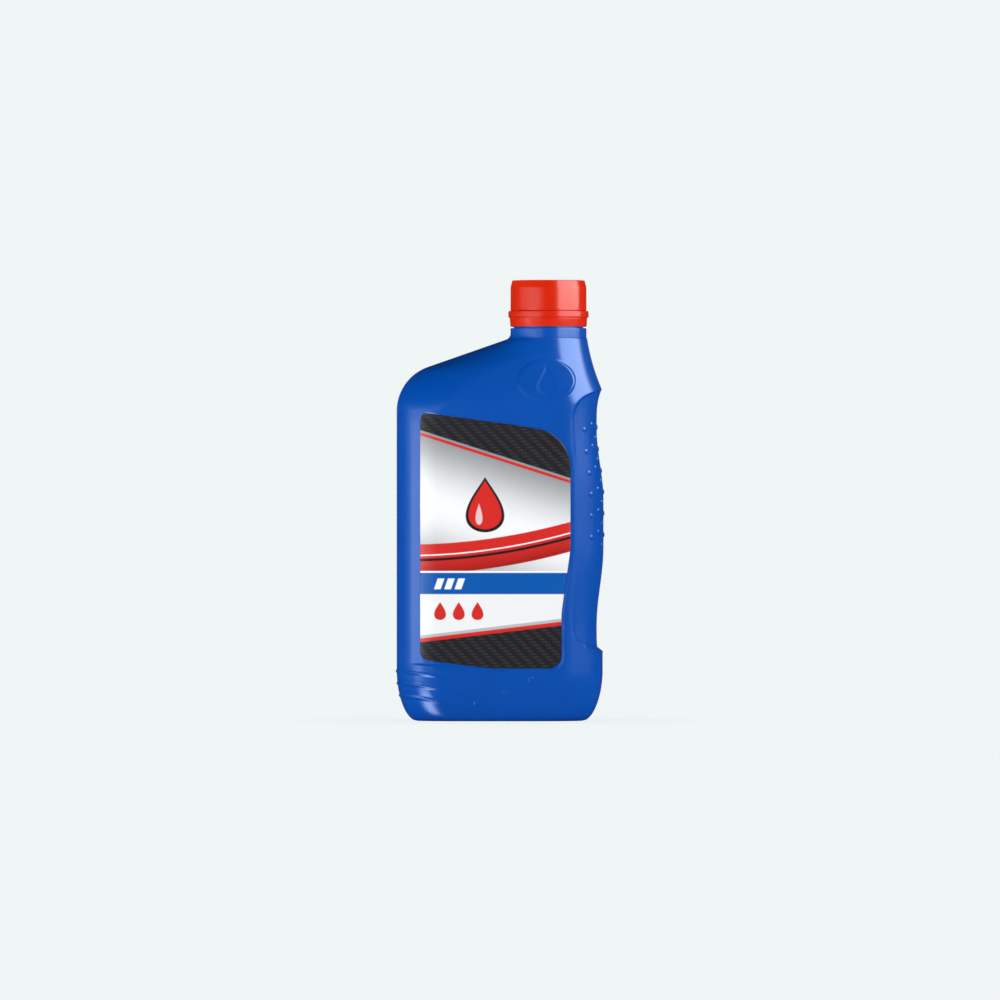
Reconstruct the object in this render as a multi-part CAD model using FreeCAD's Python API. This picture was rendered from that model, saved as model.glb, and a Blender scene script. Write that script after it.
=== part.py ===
# Motor oil bottle for one US quart: a blow-moulded bottle with an offset neck, a screw cap,
# its tamper band and liner, a front label and the oil inside. Millimetres.
# +Z is up, +X is to the right of someone who faces the label, and the label faces -Y.
# The origin is the middle of the base, on the surface that the bottle stands on.
import FreeCAD, Part
import math
import os

V = FreeCAD.Vector

# Body, seen from the front
left_side = 55.35          # from the origin to the straight left side
right_bulge = 55.9         # from the origin to the fullest point of the right side
bulge_z = 105.0            # height of that point
peak_fullness = 1.2        # spare width under the peak, which the grip cuts away
base_right = 55.0          # from the origin to the right side just above the heel
neck_x = 26.0              # the neck's axis stands this far right of the origin
shoulder_z = 205.0         # where the collar meets the shoulder
shoulder_r = 20.73         # shoulder radius there
shoulder_slope = 19.3      # degrees, the long left slope
shoulder_corner_r = 25.1   # round end of that slope
peak_z = 177.5             # thumb peak on the right, where the grip starts
flare_angle = 8.5          # degrees, the neck's flare just under the collar
flare_growth = 0.00497     # how fast the flare opens, per mm

# Body, seen from the side
body_depth = 58.0
flare_blend = 4.0          # softness of the turn from the flare to the flat front
body_top_z = 172.0         # below this level every section has the same corners
corner_r = 24.0            # corners of the body, seen from above
shoulder_reach = 18.0      # how much further the left corner reaches on the slope
front_crown = 0.45         # how much the front and back swell
least_edge = 0.2           # shortest stretch of a level curve, where it is a circle
least_crown = 0.001

# Heel and base
heel_height = 26.0
heel_inset = 11.0          # how far the heel turns in at the left and right
heel_depth_inset = 7.7     # the same at the front and back
heel_power = 1.77
foot_width = 5.0           # flat ring that the bottle stands on
base_rise = 2.8            # height of the pushed-up middle
base_slope_run = 4.0
pinch_length = 62.0        # scar where the mould pinched the tube shut
pinch_width = 0.8
pinch_height = 0.5

# Levels at which the body's shape is set, as shares of the heel, the side and the shoulder
heel_levels = (0.0, 0.03, 0.1, 0.22, 0.42, 0.7, 1.0)
side_levels = (0.25, 0.54, 0.78, 0.92, 0.96, 1.0)
shoulder_levels = (0.08, 0.17, 0.26, 0.37, 0.49, 0.62, 0.78)
grip_steps = 16
oil_steps = 16

# Wall and sunk label panel
wall = 0.8
panel_depth = 0.8
panel_left = -46.6
panel_right = 38.6
panel_right_low = 33.8
panel_top_z = 168.0        # top left corner of the panel
panel_top_slope = 0.16     # fall of its top edge, mm per mm
panel_bottom_z = 27.3
panel_corner_z = 32.0      # bottom left corner of the panel
panel_knee_high = 92.0     # where the right edge starts to lean in
panel_knee_low = 58.0
panel_corner_r = 5.0
panel_shoulder_r = 21.0    # its big round corner at the top right
panel_knee_r = 40.0
panel_heel_r = 7.0
panel_foot_x = -5.0        # the bottom edge rises to the left of here
panel_foot_r = 60.0

# Grip on the right side
grip_line = 55.46          # right side between the two finger hollows
grip_depth = 3.65
grip_high_z = 157.0        # deepest level of the upper hollow
grip_low_z = 50.5          # and of the lower one
grip_edge_x = 38.5         # left edge of the grip
grip_edge_mid_x = 42.5
grip_bottom_z = 38.0
grip_outer_x = 62.0        # clear of the right side
grip_high_reach = 26.0     # from the upper hollow's deepest level to its top
grip_high_run = 39.0       # and to the full stretch below it
grip_low_run = 43.0
grip_low_reach = 25.0
grip_top_rise = 2.3        # from the peak to the grip's outline at grip_outer_x
grip_top_fall = 6.2        # from the peak to the top of its left edge
grip_top_r = 15.0
grip_side_r = 60.0
grip_foot_rise = 3.0
grip_foot_fall = 1.0
grip_foot_r = 12.0
grip_sharp_r = 0.5
dot_radius = 1.6
dot_crest_radius = 0.7
dot_height = 0.65
dot_root = 0.5             # how deep a dot reaches into the wall
dot_pitch = 11.53
dots_in_column = 6
dot_columns = [(155.8, 6.6), (158.7, 2.7), (151.6, 0.75), (157.3, 0.0)]   # top z, in from the side

# Ribs round the lower left corner, and the raised oval on the shoulder
rib_height = 0.55
rib_width = 1.5
rib_end_width = 0.25
rib_level_share = 0.2      # of its run, where a rib starts to fall
rib_turn_share = 0.6
rib_turn_fall = 0.55       # share of the fall reached there
ribs = [(26.6, -20.0, 4.6), (20.1, -15.0, 5.6), (13.5, -15.0, 6.0)]       # z at left, end x, fall
rib_dots = [(16.6, 22.5), (3.0, 15.5), (-12.5, 9.9)]
oval_x = 24.8
oval_z = 182.0
oval_half_width = 15.2
oval_half_height = 11.4
oval_relief = 0.5
drop_radius = 4.6
drop_height = 15.0

# Neck
collar_r = 20.36
collar_height = 5.4
neck_web = 1.6             # shoulder wall under the collar
collar_wall = 1.6
groove_r = 18.6
groove_height = 0.8
neck_r = 17.45
neck_bore_r = 15.4
lock_bead_r = 18.9         # holds the tamper band down
lock_bead_z = 5.3          # from the band's lower edge to the bead's under side
lock_bead_height = 1.5
small_edge = 0.35          # chamfers of the collar, the beads and the tamper band
rim_edge = 0.5
band_step_z = 0.2          # from the band's lower edge to the top of the groove
neck_foot_z = 0.9          # and to the foot of the neck's straight wall

# Thread, one start, right hand
thread_pitch = 4.23
thread_turns = 1.75
thread_depth = 1.2
thread_root = 2.2          # width at the wall
thread_crest = 0.7
thread_sink = 0.15         # how deep the thread's root reaches into the wall
thread_start = 2.2         # from the cap's hem to the first turn on the neck
thread_play = 0.3          # free height between the two threads
thread_gap = 0.4           # from one thread's crest to the other's wall

# Tamper band
band_r = 20.75
band_bead_r = 21.5
band_bead_height = 4.0
band_skirt_height = 4.7
band_gap = 0.3             # to the neck's bead
band_lip_r = 18.15
band_lip_height = 1.2
bridge_count = 8
bridge_size = 0.9
bridge_gap = 0.1
bridge_root = 0.2
slit_height = 0.5

# Cap and liner
cap_r = 20.33
cap_height = 15.6
cap_top_wall = 1.6
cap_bevel_width = 0.9
cap_bevel_height = 3.9
cap_edge_r = 0.4
liner_thickness = 1.0
liner_r = 18.4

# Label and oil
label_left = -42.6
label_margin = 1.0         # from the panel's edge to the label's
label_thickness = 0.2
label_gap = 0.05
oil_gap = 0.4
oil_level = 183.0

# Levels that follow from the sizes above
collar_top = shoulder_z + collar_height
band_bottom = collar_top + groove_height
bead_bottom = band_bottom + band_skirt_height
band_top = bead_bottom + band_bead_height
hem_z = band_top + slit_height
cap_top = hem_z + cap_height
rim_z = cap_top - cap_top_wall - liner_thickness
cap_bore_r = neck_r + thread_depth + thread_gap


def smooth_step(t):
    t = min(1.0, max(0.0, t))
    return t * t * (3 - 2 * t)


def smooth_min(a, b, softness):
    near = max(0.0, 1 - abs(a - b) / softness)
    return min(a, b) - near * near * softness / 4


def flare_r(z):
    """Radius of the flared shoulder round the neck's axis."""
    drop = shoulder_z - z
    return shoulder_r + math.tan(math.radians(flare_angle)) * drop + flare_growth * drop ** 2


def heel(z):
    """Share, from 1 at the base to 0, by which the heel has turned in."""
    up = min(1.0, max(0.0, z / heel_height))
    return 1 - math.sqrt(1 - (1 - up) ** heel_power)


def left_x(z, inset):
    """Left outline: a straight side, a round corner and the long slope up to the neck."""
    slope = math.radians(shoulder_slope)
    centre_x = shoulder_corner_r - left_side
    slope_x = neck_x - shoulder_r
    run = centre_x - shoulder_corner_r * math.sin(slope) - slope_x
    centre_z = shoulder_z - shoulder_corner_r * math.cos(slope) + run * math.tan(slope)
    radius = shoulder_corner_r - inset
    rise = z - centre_z
    if rise <= 0:
        return inset - left_side + heel_inset * heel(z - inset)
    if rise < radius * math.cos(slope):
        return centre_x - math.sqrt(radius ** 2 - rise ** 2)
    return slope_x - (shoulder_z - z) / math.tan(slope) + inset / math.sin(slope)


def right_x(z, inset):
    """Right outline: the neck's flare, which the grip cuts to a peak, then a slightly full side."""
    side = base_right + (right_bulge - base_right) * smooth_step((z - heel_height) / (bulge_z - heel_height))
    side += peak_fullness * smooth_step((z - grip_high_z + 17) / 30)
    return smooth_min(neck_x + flare_r(z), side, 2.0) - inset - heel_inset * heel(z - inset)


def hollow(z, middle, reach, power):
    """Depth share of one finger hollow; power 1 gives the longer, straighter run."""
    return math.cos(math.pi / 2 * min(1.0, (abs(z - middle) / reach) ** power)) ** 2


def grip_x(z, inset):
    """Right outline inside the grip: two finger hollows with a full stretch between them."""
    if z > grip_high_z:
        above = hollow(z, grip_high_z, grip_high_reach, 2)
    else:
        above = hollow(z, grip_high_z, grip_high_run, 1)
    if z < grip_low_z:
        below = hollow(z, grip_low_z, grip_low_reach, 2)
    else:
        below = hollow(z, grip_low_z, grip_low_run, 1)
    return grip_line - grip_depth * max(above, below) - inset


def neck_share(z):
    """0 in the body, rising to 1 where the section is the neck's circle."""
    return smooth_step((z - body_top_z) / (shoulder_z - body_top_z))


def level_shape(z, inset, side):
    """A level's ends, the reach of its two corners, its half depth and its flat side."""
    share = neck_share(z)
    start = left_x(z, inset)
    end = side(z, inset)
    sweep = shoulder_reach * smooth_step((z - body_top_z + 12) / 30)
    reach_left = smooth_min(neck_x - start, corner_r - inset + sweep, 6.0) - least_edge
    reach_right = corner_r + (shoulder_r - corner_r) * share - inset - least_edge
    depth = smooth_min(flare_r(z), body_depth / 2, flare_blend) - inset - heel_depth_inset * heel(z - inset)
    flat = least_edge + (body_depth / 2 - corner_r) * (1 - share)
    return start, end, reach_left, reach_right, depth, flat


def half_depth(x, z, inset, side):
    """How far the body stands from the mid plane at a point of the front view."""
    start, end, reach_left, reach_right, depth, flat = level_shape(z, inset, side)
    share = min(1.0, (x - start) / reach_left, (end - x) / reach_right)
    return flat + (depth - front_crown - flat) * math.sqrt(1 - (1 - share) ** 2)


def corner_edge(centre_x, reach, flat, rise, facing, level):
    """Quarter ellipse from the flat side to the front or back."""
    half = math.sqrt(0.5)
    centre = V(centre_x, facing * flat, level)
    side_end = V(centre_x - reach, facing * flat, level)
    face_end = V(centre_x, facing * (flat + rise), level)
    between = V(centre_x - reach * half, facing * (flat + rise * half), level)
    long_end, short_end = (side_end, face_end) if abs(reach) > rise else (face_end, side_end)
    curve = Part.Ellipse(long_end, short_end, centre)
    ends = [curve.parameter(side_end), curve.parameter(face_end)]
    low, high = min(ends), max(ends)
    if low < curve.parameter(between) < high:
        return Part.ArcOfEllipse(curve, low, high).toShape()
    return Part.ArcOfEllipse(curve, high, low + 2 * math.pi).toShape()


def section(z, inset, side, at=None):
    """Level curve: flat sides, quarter-ellipse corners and a slightly full front and back."""
    start, end, reach_left, reach_right, depth, flat = level_shape(z, inset, side)
    level = z if at is None else at
    crown = front_crown * (1 - neck_share(z))
    rise = depth - crown - flat
    edges = [Part.makeLine(V(start, flat, level), V(start, -flat, level))]
    left, right = start + reach_left, end - reach_right
    for facing in (-1, 1):
        edges.append(corner_edge(left, reach_left, flat, rise, facing, level))
        face_y = facing * (flat + rise)
        crest = V((left + right) / 2, face_y + facing * max(crown, least_crown), level)
        edges.append(Part.Arc(V(left, face_y, level), crest, V(right, face_y, level)).toShape())
        edges.append(corner_edge(right, -reach_right, flat, rise, facing, level))
    edges.append(Part.makeLine(V(end, -flat, level), V(end, flat, level)))
    return Part.Wire(Part.sortEdges(edges)[0])


def skin(levels, inset, side):
    """Solid that runs straight from each level curve to the next."""
    return Part.makeLoft([section(z, inset, side) for z in levels], True, True)


def body_levels(inset, low, top):
    """Levels from low to top at which the body's shape is set."""
    start = max(0.0, inset)
    side_run = body_top_z - heel_height
    levels = [start + heel_height * share for share in heel_levels[:-1]]
    levels += [heel_height + start] + [heel_height + side_run * share for share in side_levels]
    levels += [body_top_z + (shoulder_z - body_top_z) * share for share in shoulder_levels]
    return [low] + [z for z in levels if low + 0.6 < z < top - 0.6] + [top]


def blank(inset, top=None):
    """The body without its panel and grip, every face moved in by inset."""
    top = shoulder_z if top is None else top
    return skin(body_levels(inset, max(0.0, inset), top), inset, right_x)


def panel_floor(inset):
    """A stretch of the body, moved in, whose faces are the floor of the panels."""
    return skin(body_levels(inset, heel_height - 10, body_top_z), inset, right_x)


def grip_floor(inset):
    """A stretch of the body with the grip's own right side."""
    start = grip_bottom_z - 12
    rise = (peak_z + 8 - start) / grip_steps
    return skin([start + rise * i for i in range(grip_steps + 1)], inset, grip_x)


def rounded_outline(corners, grow=0.0):
    """Closed outline in the front plane through corners (x, z, radius), ready to extrude."""
    count = len(corners)
    points = [V(x, 0, z) for x, z, radius in corners]
    starts, middles, ends = [], [], []
    for i in range(count):
        before = (points[i - 1] - points[i]).normalize()
        after = (points[(i + 1) % count] - points[i]).normalize()
        half = before.getAngle(after) / 2
        radius = corners[i][2]
        starts.append(points[i] + before * (radius / math.tan(half)))
        ends.append(points[i] + after * (radius / math.tan(half)))
        bisector = (before + after).normalize()
        middles.append(points[i] + bisector * (radius / math.sin(half) - radius))
    edges = []
    for i in range(count):
        edges.append(Part.Arc(starts[i], middles[i], ends[i]).toShape())
        edges.append(Part.makeLine(ends[i], starts[(i + 1) % count]))
    wire = Part.Wire(edges)
    return wire.makeOffset2D(grow) if grow else wire


def through(wire, start=-40.0, end=40.0):
    """Solid with a front-view outline that runs through the body from front to back."""
    face = Part.Face(wire)
    face.translate(V(0, start, 0))
    return face.extrude(V(0, end - start, 0))


def panel_corners(left, margin):
    """Corners (x, z, radius) of the label panel, or of the label inside it."""
    top = panel_top_z - margin
    right = panel_right - margin
    low = panel_right_low - margin
    bottom = panel_bottom_z + margin
    return [(left, top - panel_top_slope * (left - panel_left), panel_corner_r),
            (right, top - panel_top_slope * (right - panel_left), panel_shoulder_r),
            (right, panel_knee_high, panel_knee_r),
            (low, panel_knee_low, panel_knee_r),
            (low, bottom, panel_heel_r),
            (panel_foot_x, bottom, panel_foot_r),
            (left, panel_corner_z + margin, panel_corner_r)]


def grip_corners():
    """Corners (x, z, radius) of the grip, seen from the front."""
    return [(grip_outer_x, peak_z + grip_top_rise, grip_sharp_r),
            (grip_edge_x, peak_z - grip_top_fall, grip_top_r),
            (grip_edge_mid_x, bulge_z, grip_side_r),
            (grip_edge_x, grip_bottom_z + grip_foot_rise, grip_foot_r),
            (grip_outer_x, grip_bottom_z - grip_foot_fall, grip_sharp_r)]


def moulded_form(inset, top=None):
    """The body with its sunk panels and its grip, every face moved in by inset."""
    panel = through(rounded_outline(panel_corners(panel_left, 0.0), inset))
    grip = through(rounded_outline(grip_corners(), inset))
    sunk = [panel.cut(panel_floor(inset + panel_depth)), grip.cut(grip_floor(inset))]
    return blank(inset, top).cut(sunk)


def base_hollow(grow):
    """The pushed-up middle of the base."""
    outer = section(0.0, foot_width - grow, right_x, -grow)
    inner = section(0.0, foot_width + base_slope_run - grow, right_x, base_rise + grow)
    return Part.makeLoft([outer, inner], True, True)


def dot(x, y, z, nx, ny):
    """Small round stud whose rim lies on the surface at a point with that normal."""
    slope = (dot_radius - dot_crest_radius) / dot_height
    root_radius = dot_radius + slope * dot_root
    root = V(x - nx * dot_root, y - ny * dot_root, z)
    return Part.makeCone(root_radius, dot_crest_radius, dot_root + dot_height, root, V(nx, ny, 0))


def dots_on_faces(x, z, side):
    """The same stud on the front and on the back, each along the surface's normal."""
    step = 0.05
    y = half_depth(x, z, 0.0, side)
    slope = (half_depth(x - step, z, 0.0, side) - half_depth(x + step, z, 0.0, side)) / (2 * step)
    length = math.hypot(slope, 1.0)
    return [dot(x, facing * y, z, slope / length, facing / length) for facing in (-1, 1)]


def dots():
    """The grip's studs, in staggered columns round the side, and one past the end of each rib."""
    made = []
    for top_z, inward in dot_columns:
        for i in range(dots_in_column):
            z = top_z - i * dot_pitch
            x = grip_x(z, 0.0) - inward
            made += dots_on_faces(x, z, grip_x) if inward else [dot(x, 0.0, z, 1.0, 0.0)]
    for x, z in rib_dots:
        made += dots_on_faces(x, z, right_x)
    return made


def rib_edge(start_x, z, end_x, end_z, fall):
    """One long edge of a rib: level round the corner, then falling to its far end."""
    reach = end_x + left_side
    curve = Part.BSplineCurve()
    curve.interpolate(Points=[V(start_x, 0, z),
                              V(rib_level_share * reach - left_side, 0, z),
                              V(rib_turn_share * reach - left_side, 0, z - rib_turn_fall * fall),
                              V(end_x, 0, end_z)])
    return curve.toShape()


def rib_zone(z, end_x, fall):
    """Front view of one rib, which fades to its right end."""
    start_x = -left_side - 4
    half = rib_width / 2
    upper = rib_edge(start_x, z + half, end_x, z - fall, fall)
    lower = rib_edge(start_x, z - half, end_x, z - fall - rib_end_width, fall)
    ends = [Part.makeLine(V(start_x, 0, z + half), V(start_x, 0, z - half)),
            Part.makeLine(V(end_x, 0, z - fall), V(end_x, 0, z - fall - rib_end_width))]
    return through(Part.Wire(Part.sortEdges([upper, lower] + ends)[0]))


def oval_zone():
    """Front view of the raised oval with a plain drop left open in it."""
    oval = Part.Ellipse(V(oval_x, 0, oval_z), oval_half_width, oval_half_height).toShape()
    oval.rotate(V(oval_x, 0, oval_z), V(1, 0, 0), 90)
    low_z = oval_z - drop_height / 2 + drop_radius
    tip_z = oval_z + drop_height / 2
    swing = math.acos(drop_radius / (tip_z - low_z))
    touch_x = drop_radius * math.sin(swing)
    touch_z = low_z + drop_radius * math.cos(swing)
    bowl = Part.Arc(V(oval_x - touch_x, 0, touch_z), V(oval_x, 0, low_z - drop_radius),
                    V(oval_x + touch_x, 0, touch_z)).toShape()
    sides = [Part.makeLine(V(oval_x + touch_x, 0, touch_z), V(oval_x, 0, tip_z)),
             Part.makeLine(V(oval_x, 0, tip_z), V(oval_x - touch_x, 0, touch_z))]
    return through(Part.Wire([oval])).cut(through(Part.Wire([bowl] + sides)))


def turned(profile):
    """Solid of revolution round the neck's axis from (radius, z) points."""
    points = [V(neck_x + r, 0, z) for r, z in profile]
    face = Part.Face(Part.makePolygon(points + points[:1]))
    return face.revolve(V(neck_x, 0, 0), V(0, 0, 1), 360)


def thread(root_r, crest_r, start_z):
    """One helical ridge; a crest inside its root makes the thread of a cap."""
    inward = 1 if root_r > crest_r else -1
    sunk_r = root_r + inward * thread_sink
    path = Part.makeHelix(thread_pitch, thread_pitch * thread_turns, root_r)
    path.translate(V(neck_x, 0, start_z))
    points = [V(neck_x + sunk_r, 0, start_z - thread_root / 2),
              V(neck_x + crest_r, 0, start_z - thread_crest / 2),
              V(neck_x + crest_r, 0, start_z + thread_crest / 2),
              V(neck_x + sunk_r, 0, start_z + thread_root / 2)]
    profile = Part.makePolygon(points + points[:1])
    return Part.Wire(path.Edges).makePipeShell([profile], True, True)


def neck_outside():
    """Collar, groove for the tamper band, lock bead and finish, as one turned solid."""
    bead_z = band_bottom + lock_bead_z
    bead_top = bead_z + lock_bead_height
    return turned([(0, shoulder_z - neck_web), (collar_r, shoulder_z - neck_web),
                   (collar_r, collar_top - small_edge), (collar_r - small_edge, collar_top),
                   (groove_r, collar_top), (groove_r, band_bottom + band_step_z),
                   (neck_r, band_bottom + neck_foot_z), (neck_r, bead_z), (lock_bead_r, bead_z),
                   (lock_bead_r, bead_z + small_edge), (neck_r, bead_top),
                   (neck_r, rim_z - rim_edge), (neck_r - rim_edge, rim_z), (0, rim_z)])


def neck_inside():
    """The bore, which opens out inside the collar."""
    hollow_r = collar_r - collar_wall
    return turned([(0, shoulder_z - 2 * neck_web), (hollow_r, shoulder_z - 2 * neck_web),
                   (hollow_r, collar_top - collar_wall), (neck_bore_r, band_bottom + neck_foot_z),
                   (neck_bore_r, rim_z + 1), (0, rim_z + 1)])


def bottle_shell():
    """The blow-moulded bottle, from its base to the threaded neck."""
    raised = blank(-rib_height)
    ridges = [rib_zone(*rib).common(raised) for rib in ribs]
    ridges.append(oval_zone().common(blank(-oval_relief)))
    body = moulded_form(0.0).fuse(ridges).cut(base_hollow(0.0))
    cavity = moulded_form(wall, shoulder_z - neck_web).cut(base_hollow(wall))
    neck = neck_outside().fuse(thread(neck_r, neck_r + thread_depth, hem_z + thread_start))
    body = body.fuse(neck).cut(cavity.fuse(neck_inside()))
    scar = Part.makeBox(pinch_length, pinch_width, pinch_height + wall / 2,
                        V(-pinch_length / 2, -pinch_width / 2, base_rise - pinch_height))
    return body.fuse(scar).removeSplitter().fuse(dots())


def tamper_band():
    """The ring that stays on the neck, with the bridges that join it to a sealed cap."""
    inner_r = groove_r + small_edge
    step_z = bead_bottom + band_gap
    body = turned([(inner_r, band_bottom), (band_r - small_edge, band_bottom),
                   (band_r, bead_bottom - rim_edge), (band_r, bead_bottom),
                   (band_bead_r, bead_bottom + small_edge),
                   (band_bead_r, band_top - small_edge), (band_bead_r - small_edge, band_top),
                   (lock_bead_r + band_gap, band_top), (lock_bead_r + band_gap, step_z),
                   (band_lip_r, step_z), (band_lip_r, bead_bottom - band_lip_height),
                   (inner_r, band_bottom + neck_foot_z)])
    height = slit_height - bridge_gap + bridge_root
    corner = V(neck_x + cap_r - bridge_size, -bridge_size / 2, band_top - bridge_root)
    bridges = []
    for i in range(bridge_count):
        bridge = Part.makeBox(bridge_size, bridge_size, height, corner)
        bridge.rotate(V(neck_x, 0, 0), V(0, 0, 1), (i + 0.5) * 360 / bridge_count)
        bridges.append(bridge)
    return body.fuse(bridges)


def screw_cap():
    """The cap: a cup with a bevelled top edge and one inner thread."""
    ceiling_z = cap_top - cap_top_wall
    outside = turned([(0, hem_z), (cap_r, hem_z), (cap_r, cap_top - cap_bevel_height),
                      (cap_r - cap_bevel_width, cap_top), (0, cap_top)])
    circles = [e for e in outside.Edges if len(e.Vertexes) == 1]
    top_edges = [e for e in circles if e.BoundBox.ZMin > ceiling_z]
    outside = outside.makeFillet(cap_edge_r, top_edges)
    bore = turned([(0, hem_z - 1), (cap_bore_r, hem_z - 1), (cap_bore_r, ceiling_z), (0, ceiling_z)])
    shift = thread_start - (thread_root + thread_crest) / 2 - thread_play
    ridge = thread(cap_bore_r, cap_bore_r - thread_depth, hem_z + shift)
    return outside.cut(bore).fuse(ridge)


def cap_liner():
    """The foam disc between the rim and the cap's ceiling."""
    top = rim_z + liner_thickness
    return turned([(0, rim_z), (liner_r, rim_z), (liner_r, top), (0, top)])


def front_label():
    """The film in the front panel, bent as the panel's floor is."""
    depth = panel_depth - label_gap
    sheet = through(rounded_outline(panel_corners(label_left, label_margin)), -40.0, 0.0)
    return sheet.common(panel_floor(depth - label_thickness)).cut(panel_floor(depth))


def contents_x(z, inset):
    """Right side of the oil: it keeps clear of the grip at every level."""
    return min(grip_x(z, inset), right_x(z, inset))


def oil():
    """The filling, up to its level, clear of the wall all round."""
    inset = wall + panel_depth + oil_gap
    low = inset + heel_height
    levels = [inset + heel_height * share for share in heel_levels[:-1]]
    levels += [low + (oil_level - low) * i / oil_steps for i in range(oil_steps + 1)]
    return skin(levels, inset, contents_x).cut(base_hollow(inset))


def save(name, shape):
    """Writes one node and says what it holds."""
    solids = shape.Solids
    volume = round(shape.Volume / 1000, 2)
    print(name, "solids", len(solids), "valid", shape.isValid(), "volume", volume, "cm3")
    solid = solids[0] if len(solids) == 1 else Part.makeCompound(solids)
    solid.exportStep("parts/" + name + ".step")


os.makedirs("parts", exist_ok=True)
save("bottle_shell", bottle_shell())
save("tamper_band", tamper_band())
save("screw_cap", screw_cap())
save("cap_liner", cap_liner())
save("front_label", front_label())
save("oil", oil())
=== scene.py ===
"""Looks of the motor oil bottle: smooth moulded surfaces, label, cap, materials, light and camera.

Sizes are in millimetres and become metres when a mesh is made. +Z is up, the label faces -Y,
and the bottle's base is centred on the origin.
"""

import math

import bmesh
import bpy
import numpy as np
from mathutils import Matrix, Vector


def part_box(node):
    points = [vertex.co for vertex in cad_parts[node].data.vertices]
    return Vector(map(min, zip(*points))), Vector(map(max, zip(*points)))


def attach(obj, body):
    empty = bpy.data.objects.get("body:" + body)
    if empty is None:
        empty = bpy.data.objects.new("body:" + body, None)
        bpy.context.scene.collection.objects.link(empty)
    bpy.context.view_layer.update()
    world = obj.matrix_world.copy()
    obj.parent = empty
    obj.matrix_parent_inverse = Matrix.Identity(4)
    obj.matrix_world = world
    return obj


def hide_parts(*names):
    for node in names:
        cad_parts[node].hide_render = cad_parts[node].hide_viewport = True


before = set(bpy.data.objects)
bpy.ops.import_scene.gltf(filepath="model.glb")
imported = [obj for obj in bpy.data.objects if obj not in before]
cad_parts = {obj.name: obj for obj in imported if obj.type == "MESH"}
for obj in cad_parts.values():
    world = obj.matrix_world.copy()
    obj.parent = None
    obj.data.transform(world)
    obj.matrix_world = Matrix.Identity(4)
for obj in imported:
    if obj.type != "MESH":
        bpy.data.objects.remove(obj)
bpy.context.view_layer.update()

bl_info = {
    "name": "Oil bottle looks",
    "version": (1, 0, 0),
    "blender": (4, 5, 0),
    "location": "3D View > Sidebar > Oil bottle",
    "description": "Moulded bottle, cap, label and studio around the packed oil bottle",
    "category": "Object",
}

MM = 0.001
MERGE_REACH = 1e-6


def frame_box(node):
    """Lowest and highest corner of a CAD node in millimetres."""
    low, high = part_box(node)
    return np.array(low) / MM, np.array(high) / MM


CAP_LOW, CAP_HIGH = frame_box("screw_cap")
BAND_LOW = frame_box("tamper_band")[0]
SHELL_HIGH = frame_box("bottle_shell")[1]

# Body, seen from the front
LEFT_SIDE = 55.35
RIGHT_BULGE = 55.9
BULGE_Z = 105.0
BASE_RIGHT = 55.0
NECK_X = float(CAP_LOW[0] + CAP_HIGH[0]) / 2
SHOULDER_Z = 205.0
SHOULDER_R = 20.73
SHOULDER_SLOPE = math.radians(19.3)
SHOULDER_CORNER_R = 25.1
PEAK_Z = 177.5
FLARE_ANGLE = math.radians(8.5)
FLARE_GROWTH = 0.00497
FLARE_SOFTNESS = 2.0

# Body, seen from the side
BODY_DEPTH = 58.0
FLARE_BLEND = 4.0
BODY_TOP_Z = 172.0
CORNER_R = 24.0
SHOULDER_REACH = 18.0      # added to the left corner's reach on the shoulder
SHOULDER_FROM_Z = BODY_TOP_Z - 12.0
SHOULDER_RUN = 30.0
REACH_SOFTNESS = 6.0
FRONT_CROWN = 0.45
LEAST_EDGE = 0.2
WALL = 0.8
INNER_LOW_Z = 182.0        # the inside shows from the oil's level upwards
INNER_RINGS = 16
SHELF_INSETS = (0.25, 0.9)

# Heel and base
HEEL_HEIGHT = 26.0
HEEL_INSET = 11.0
HEEL_DEPTH_INSET = 7.7
HEEL_POWER = 1.77
FOOT_WIDTH = 5.0
BASE_RISE = 2.8
BASE_SLOPE_RUN = 4.0
BASE_INSETS = [1.2, FOOT_WIDTH, FOOT_WIDTH + 0.8, FOOT_WIDTH + BASE_SLOPE_RUN - 0.8,
               FOOT_WIDTH + BASE_SLOPE_RUN]
PINCH_LENGTH = 62.0
PINCH_WIDTH = 0.8
PINCH_HEIGHT = 0.5
PINCH_ROOT = 0.3
BASE_CLOSING = [0.7, 0.4, 0.15, 0.0]     # shares of the last inset ring

# Sunk label panel: corners are (x, z, radius)
PANEL_DEPTH = 0.8
PANEL_CORNERS = [(-46.6, 168.0, 5.0), (38.6, 154.37, 21.0), (38.6, 92.0, 40.0), (33.8, 58.0, 40.0),
                 (33.8, 27.3, 7.0), (-5.0, 27.3, 60.0), (-46.6, 32.0, 5.0)]
PANEL_OPEN_X = -62.0
PANEL_FADE_LEFT = -50.5    # the floor runs out softly towards the left corner
PANEL_FADE_RUN = 7.6
LABEL_LEFT = -42.6
LABEL_MARGIN = 1.0
LABEL_THICKNESS = 0.2
LABEL_GAP = 0.05

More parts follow.
